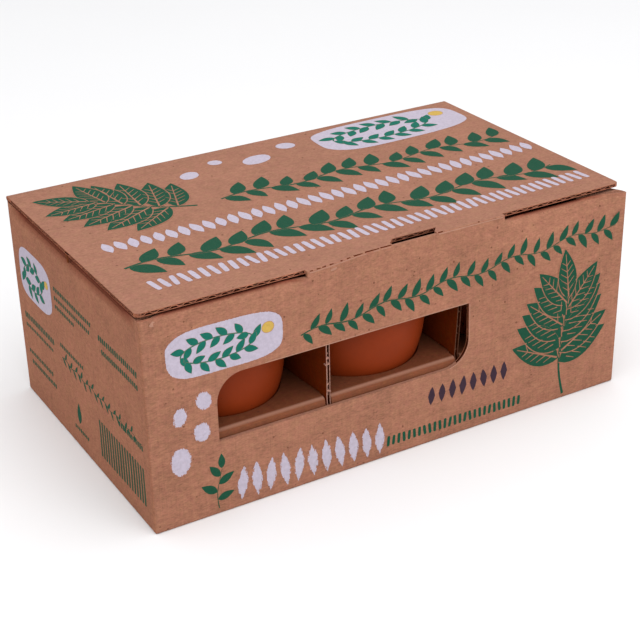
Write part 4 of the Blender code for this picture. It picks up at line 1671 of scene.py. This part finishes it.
class PrintFront(bpy.types.Operator):
    """Print the front: a white field with a wreath, a vine, ovals, rows, a large plant, and pale rubbed
    places with painted highlights
    """
    bl_idname = "egg_carton.print_front"
    bl_label = "Print Front"

    def execute(self, context):
        draw = random.Random(PRINT_SEED + 1)
        lay = partial(lay_print, "front")
        big, lines = plant(draw, (138.5, 1.6), math.radians(92.0), 34.0, 13, 19.5, 0.42, 0.34)
        small, _ = plant(draw, (19.4, 1.9), math.radians(86.0), 13.0, 5, 5.6, 0.46)
        green = big + small + vine(draw, (46.5, 47.6), (155.5, 54.4), 8.6, 2.4, 0.40, 5.0)
        lay("front_print_green", green, "green", 0.00014)
        lay("front_print_veins", lines, "outside", lift=ON_INK)
        lay("front_print_bars", row(draw, (74.5, 5.2), (121.5, 4.6), 3.5, 1.75, "bar"), "green", 0.00010)
        lay("front_print_field", ovals(draw, (24.0, 51.2, 34.5, 14.4, 0.0, 64, 3.6)), "white", 0.00036)
        brushed = ovals(draw, (16.8, 36.6, 5.0, 5.8, 0.3), (9.6, 33.6, 4.2, 6.0, -0.2),
                        (15.6, 27.4, 5.2, 6.0, 0.1), (9.0, 20.2, 6.2, 9.0, 0.0))
        brushed += row(draw, (27.0, 7.6), (71.5, 7.2), 11.6, 4.2, "petal")
        lay("front_print_white", brushed, "brushed", 0.00080)
        # Pale ribbons along the crease and pale ovals near the wall's top: rubbed wear with a painted
        # highlight on the fold's edge and the crushed top left corner; then the window's rubbed rims.
        rubs_and_highlights = []
        for start, end in CREASE_RUB_AND_HIGHLIGHT_STRETCHES:
            crease = [Vector((start + (end - start) * step / 24, CREASE_RUB_AND_HIGHLIGHT_HEIGHT)) for step in range(25)]
            rubs_and_highlights.append(ribbon(crease, *CREASE_RUB_AND_HIGHLIGHT_WIDTHS))
        rubs_and_highlights += ovals(draw, (4.9, 62.9, 4.2, 1.7, 0.2, 16), (57.6, 64.2, 2.4, 0.8, 0.1, 12))
        rubs_and_highlights += self.window_rims(context.scene.carton_sizes)
        lay("front_wear", rubs_and_highlights, "worn", 0.00016, UNDER_INK)
        lay("front_print_teal", wreath(draw, (21.6, 51.0), 21.5, 6.6, 22, 4.2), "teal", 0.00012, ON_INK)
        lay("front_print_yellow", ovals(draw, (36.6, 53.0, 3.8, 3.4)), "yellow", 0.00036, ON_INK)
        lay("front_print_dark", row(draw, (89.5, 15.6), (115.5, 16.4), 6.8, 3.7, "diamond"), "dark", 0.00014)
        return {"FINISHED"}

    def window_rims(self, sizes):
        """Pale rubbed rims along the window's upper and right edges and its lower right corner, in mm."""
        out, width = 0.20, 0.36
        right, top, bottom, radius = (1000 * value for value in (
            sizes.window_right, sizes.window_top, sizes.window_bottom, sizes.window_radius))
        turn_x, turn_y = right - radius, bottom + radius
        upper = [Vector((turn_x + radius * 0.9 - step * 3.0, top + out)) for step in range(23)]
        beside = [Vector((right + out, top - 0.3 - step * (top - turn_y) / 5)) for step in range(5)]
        beside += [Vector((turn_x, turn_y)) + ways(math.radians(-10.0 * step))[0] * (radius + out)
                   for step in range(9)]
        return [ribbon(upper, width, width), ribbon(beside, width, width)]


class PrintSide(bpy.types.Operator):
    """Print the left side: a small white field, rows of short bars, a leaf and plain stripes"""
    bl_idname = "egg_carton.print_side"
    bl_label = "Print Side"

    def execute(self, context):
        draw = random.Random(PRINT_SEED + 2)
        lay = partial(lay_print, "left")
        lay("side_print_field", ovals(draw, (17.8, 44.6, 25.4, 17.0, 0.0, 64, 3.8)), "white", 0.00036)
        lay("side_print_teal", wreath(draw, (16.0, 44.2), 14.6, 8.0, 16, 4.3, 0.54), "teal", 0.00012, ON_INK)
        lay("side_print_yellow", ovals(draw, (27.2, 46.8, 2.9, 2.6)), "yellow", 0.00030, ON_INK)
        green = []
        rows = ((33.5, 60.5, 48.4, 1.5), (33.5, 59.0, 45.4, 1.4), (33.5, 47.0, 42.6, 1.3),
                (66.5, 91.0, 47.0, 2.0), (68.0, 91.0, 43.2, 1.7), (5.6, 28.0, 28.6, 2.2),
                (5.6, 26.5, 25.2, 1.2), (5.6, 24.0, 16.0, 1.5), (7.0, 26.0, 12.6, 1.6),
                (34.5, 51.0, 30.6, 1.4), (76.0, 91.0, 24.8, 1.8))
        for start, end, level, height in rows:
            green += row(draw, (start, level), (end, level), height, 1.35, "bar")
        green += vine(draw, (34.5, 26.4), (91.0, 26.0), 4.6, 2.0, 0.36, 6.0)[:28]
        green.append(leaf((44.0, 8.6), math.radians(88.0), 7.0, 3.0))
        green += row(draw, (40.5, 6.4), (50.0, 6.4), 1.3, 1.35, "bar")
        first, spacing, half, bottom, top = STRIPES
        for number in range(STRIPE_COUNT):
            left, right = (first + number * spacing + side for side in (-half, half))
            green.append([(left, bottom), (right, bottom), (right, top), (left, top)])
        lay("side_print_green", green, "green")
        return {"FINISHED"}


class SetStage(bpy.types.Operator):
    """Set the floor, the lights and the camera"""
    bl_idname = "egg_carton.set_stage"
    bl_label = "Set Stage"

    def execute(self, context):
        stage = context.scene.carton_stage
        floor = fresh("floor", bpy.ops.mesh.primitive_circle_add, vertices=96, radius=FLOOR_RADIUS,
                      fill_type="NGON")
        with editing(floor):
            bpy.ops.mesh.select_all(action="SELECT")
            bpy.ops.mesh.inset(thickness=FLOOR_RIM)
        floor.data.materials.append(finish_named("pale_floor", floor_nodes))
        for name, (power, size, place) in LIGHTS.items():
            self.light(name, getattr(stage, power), size, at(*place))
        world = bpy.data.worlds.new("plain_surroundings")
        world.use_nodes = True
        sky = world.node_tree.nodes["Background"]
        sky.inputs["Color"].default_value = (1.0, 1.0, 1.0, 1.0)
        sky.inputs["Strength"].default_value = stage.ambient
        context.scene.world = world
        context.scene.view_settings.view_transform = "Standard"
        self.camera(stage)
        return {"FINISHED"}

    def light(self, name, power, size, place):
        """A soft square light that faces the carton."""
        bpy.ops.object.light_add(type="AREA", location=place)
        lamp = bpy.context.object
        lamp.name = name
        lamp.data.energy = power
        lamp.data.size = size
        lamp.rotation_euler = (place - at(*LIT_POINT)).to_track_quat("Z", "Y").to_euler()

    def camera(self, stage):
        """The camera at the photo's viewing angle."""
        place = at(stage.from_left, stage.from_front, stage.height)
        bpy.ops.object.camera_add(location=place)
        camera = bpy.context.object
        camera.name = "photo_camera"
        camera.data.lens = stage.lens
        camera.data.sensor_width = SENSOR_WIDTH
        camera.data.clip_start = NEAREST_SEEN
        turn = Matrix.Rotation(math.radians(stage.azimuth), 4, "Z")
        tip = Matrix.Rotation(math.radians(90.0 - stage.elevation), 4, "X")
        roll = Matrix.Rotation(math.radians(stage.roll), 4, "Z")
        camera.rotation_euler = (turn @ tip @ roll).to_euler()
        bpy.context.scene.camera = camera


class CartonPanel(bpy.types.Panel):
    """Lists the carton's sizes, finishes and steps in the 3D view's sidebar"""
    bl_idname = "VIEW3D_PT_egg_carton"
    bl_label = "Egg Carton"
    bl_space_type = "VIEW_3D"
    bl_region_type = "UI"
    bl_category = "Egg Carton"

    def draw(self, context):
        """The sizes and finishes in boxes, and the steps below them."""
        layout = self.layout
        for name in GROUPS:
            box = layout.box()
            box.label(text=name.replace("_", " ").capitalize())
            for key in GROUPS[name].__annotations__:
                box.prop(getattr(context.scene, name), key)
        for step in STEPS:
            layout.operator(step.bl_idname)


GROUPS = {"carton_sizes": CartonSizes, "insert_sizes": InsertSizes, "egg_sizes": EggSizes,
          "carton_finishes": CartonFinishes, "carton_stage": CartonStage}
STEPS = (SetStage, FoldShell, AddFlutes, FoldInsert, SlotDividers, SetEggs, PrintLid, PrintFront, PrintSide)
CLASSES = (*GROUPS.values(), *STEPS, CartonPanel)


def register():
    """Register the classes, and give the scene its groups of settings."""
    for kind in CLASSES:
        bpy.utils.register_class(kind)
    for name, group in GROUPS.items():
        setattr(bpy.types.Scene, name, PointerProperty(type=group))


def unregister():
    """Take the settings and classes out again."""
    for name in GROUPS:
        delattr(bpy.types.Scene, name)
    for kind in reversed(CLASSES):
        bpy.utils.unregister_class(kind)


def main():
    """Register the add-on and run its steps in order."""
    register()
    bpy.ops.egg_carton.set_stage()
    bpy.ops.egg_carton.fold_shell()
    bpy.ops.egg_carton.add_flutes()
    bpy.ops.egg_carton.fold_insert()
    bpy.ops.egg_carton.slot_dividers()
    bpy.ops.egg_carton.set_eggs()
    bpy.ops.egg_carton.print_lid()
    bpy.ops.egg_carton.print_front()
    bpy.ops.egg_carton.print_side()


if __name__ == "__main__":
    main()
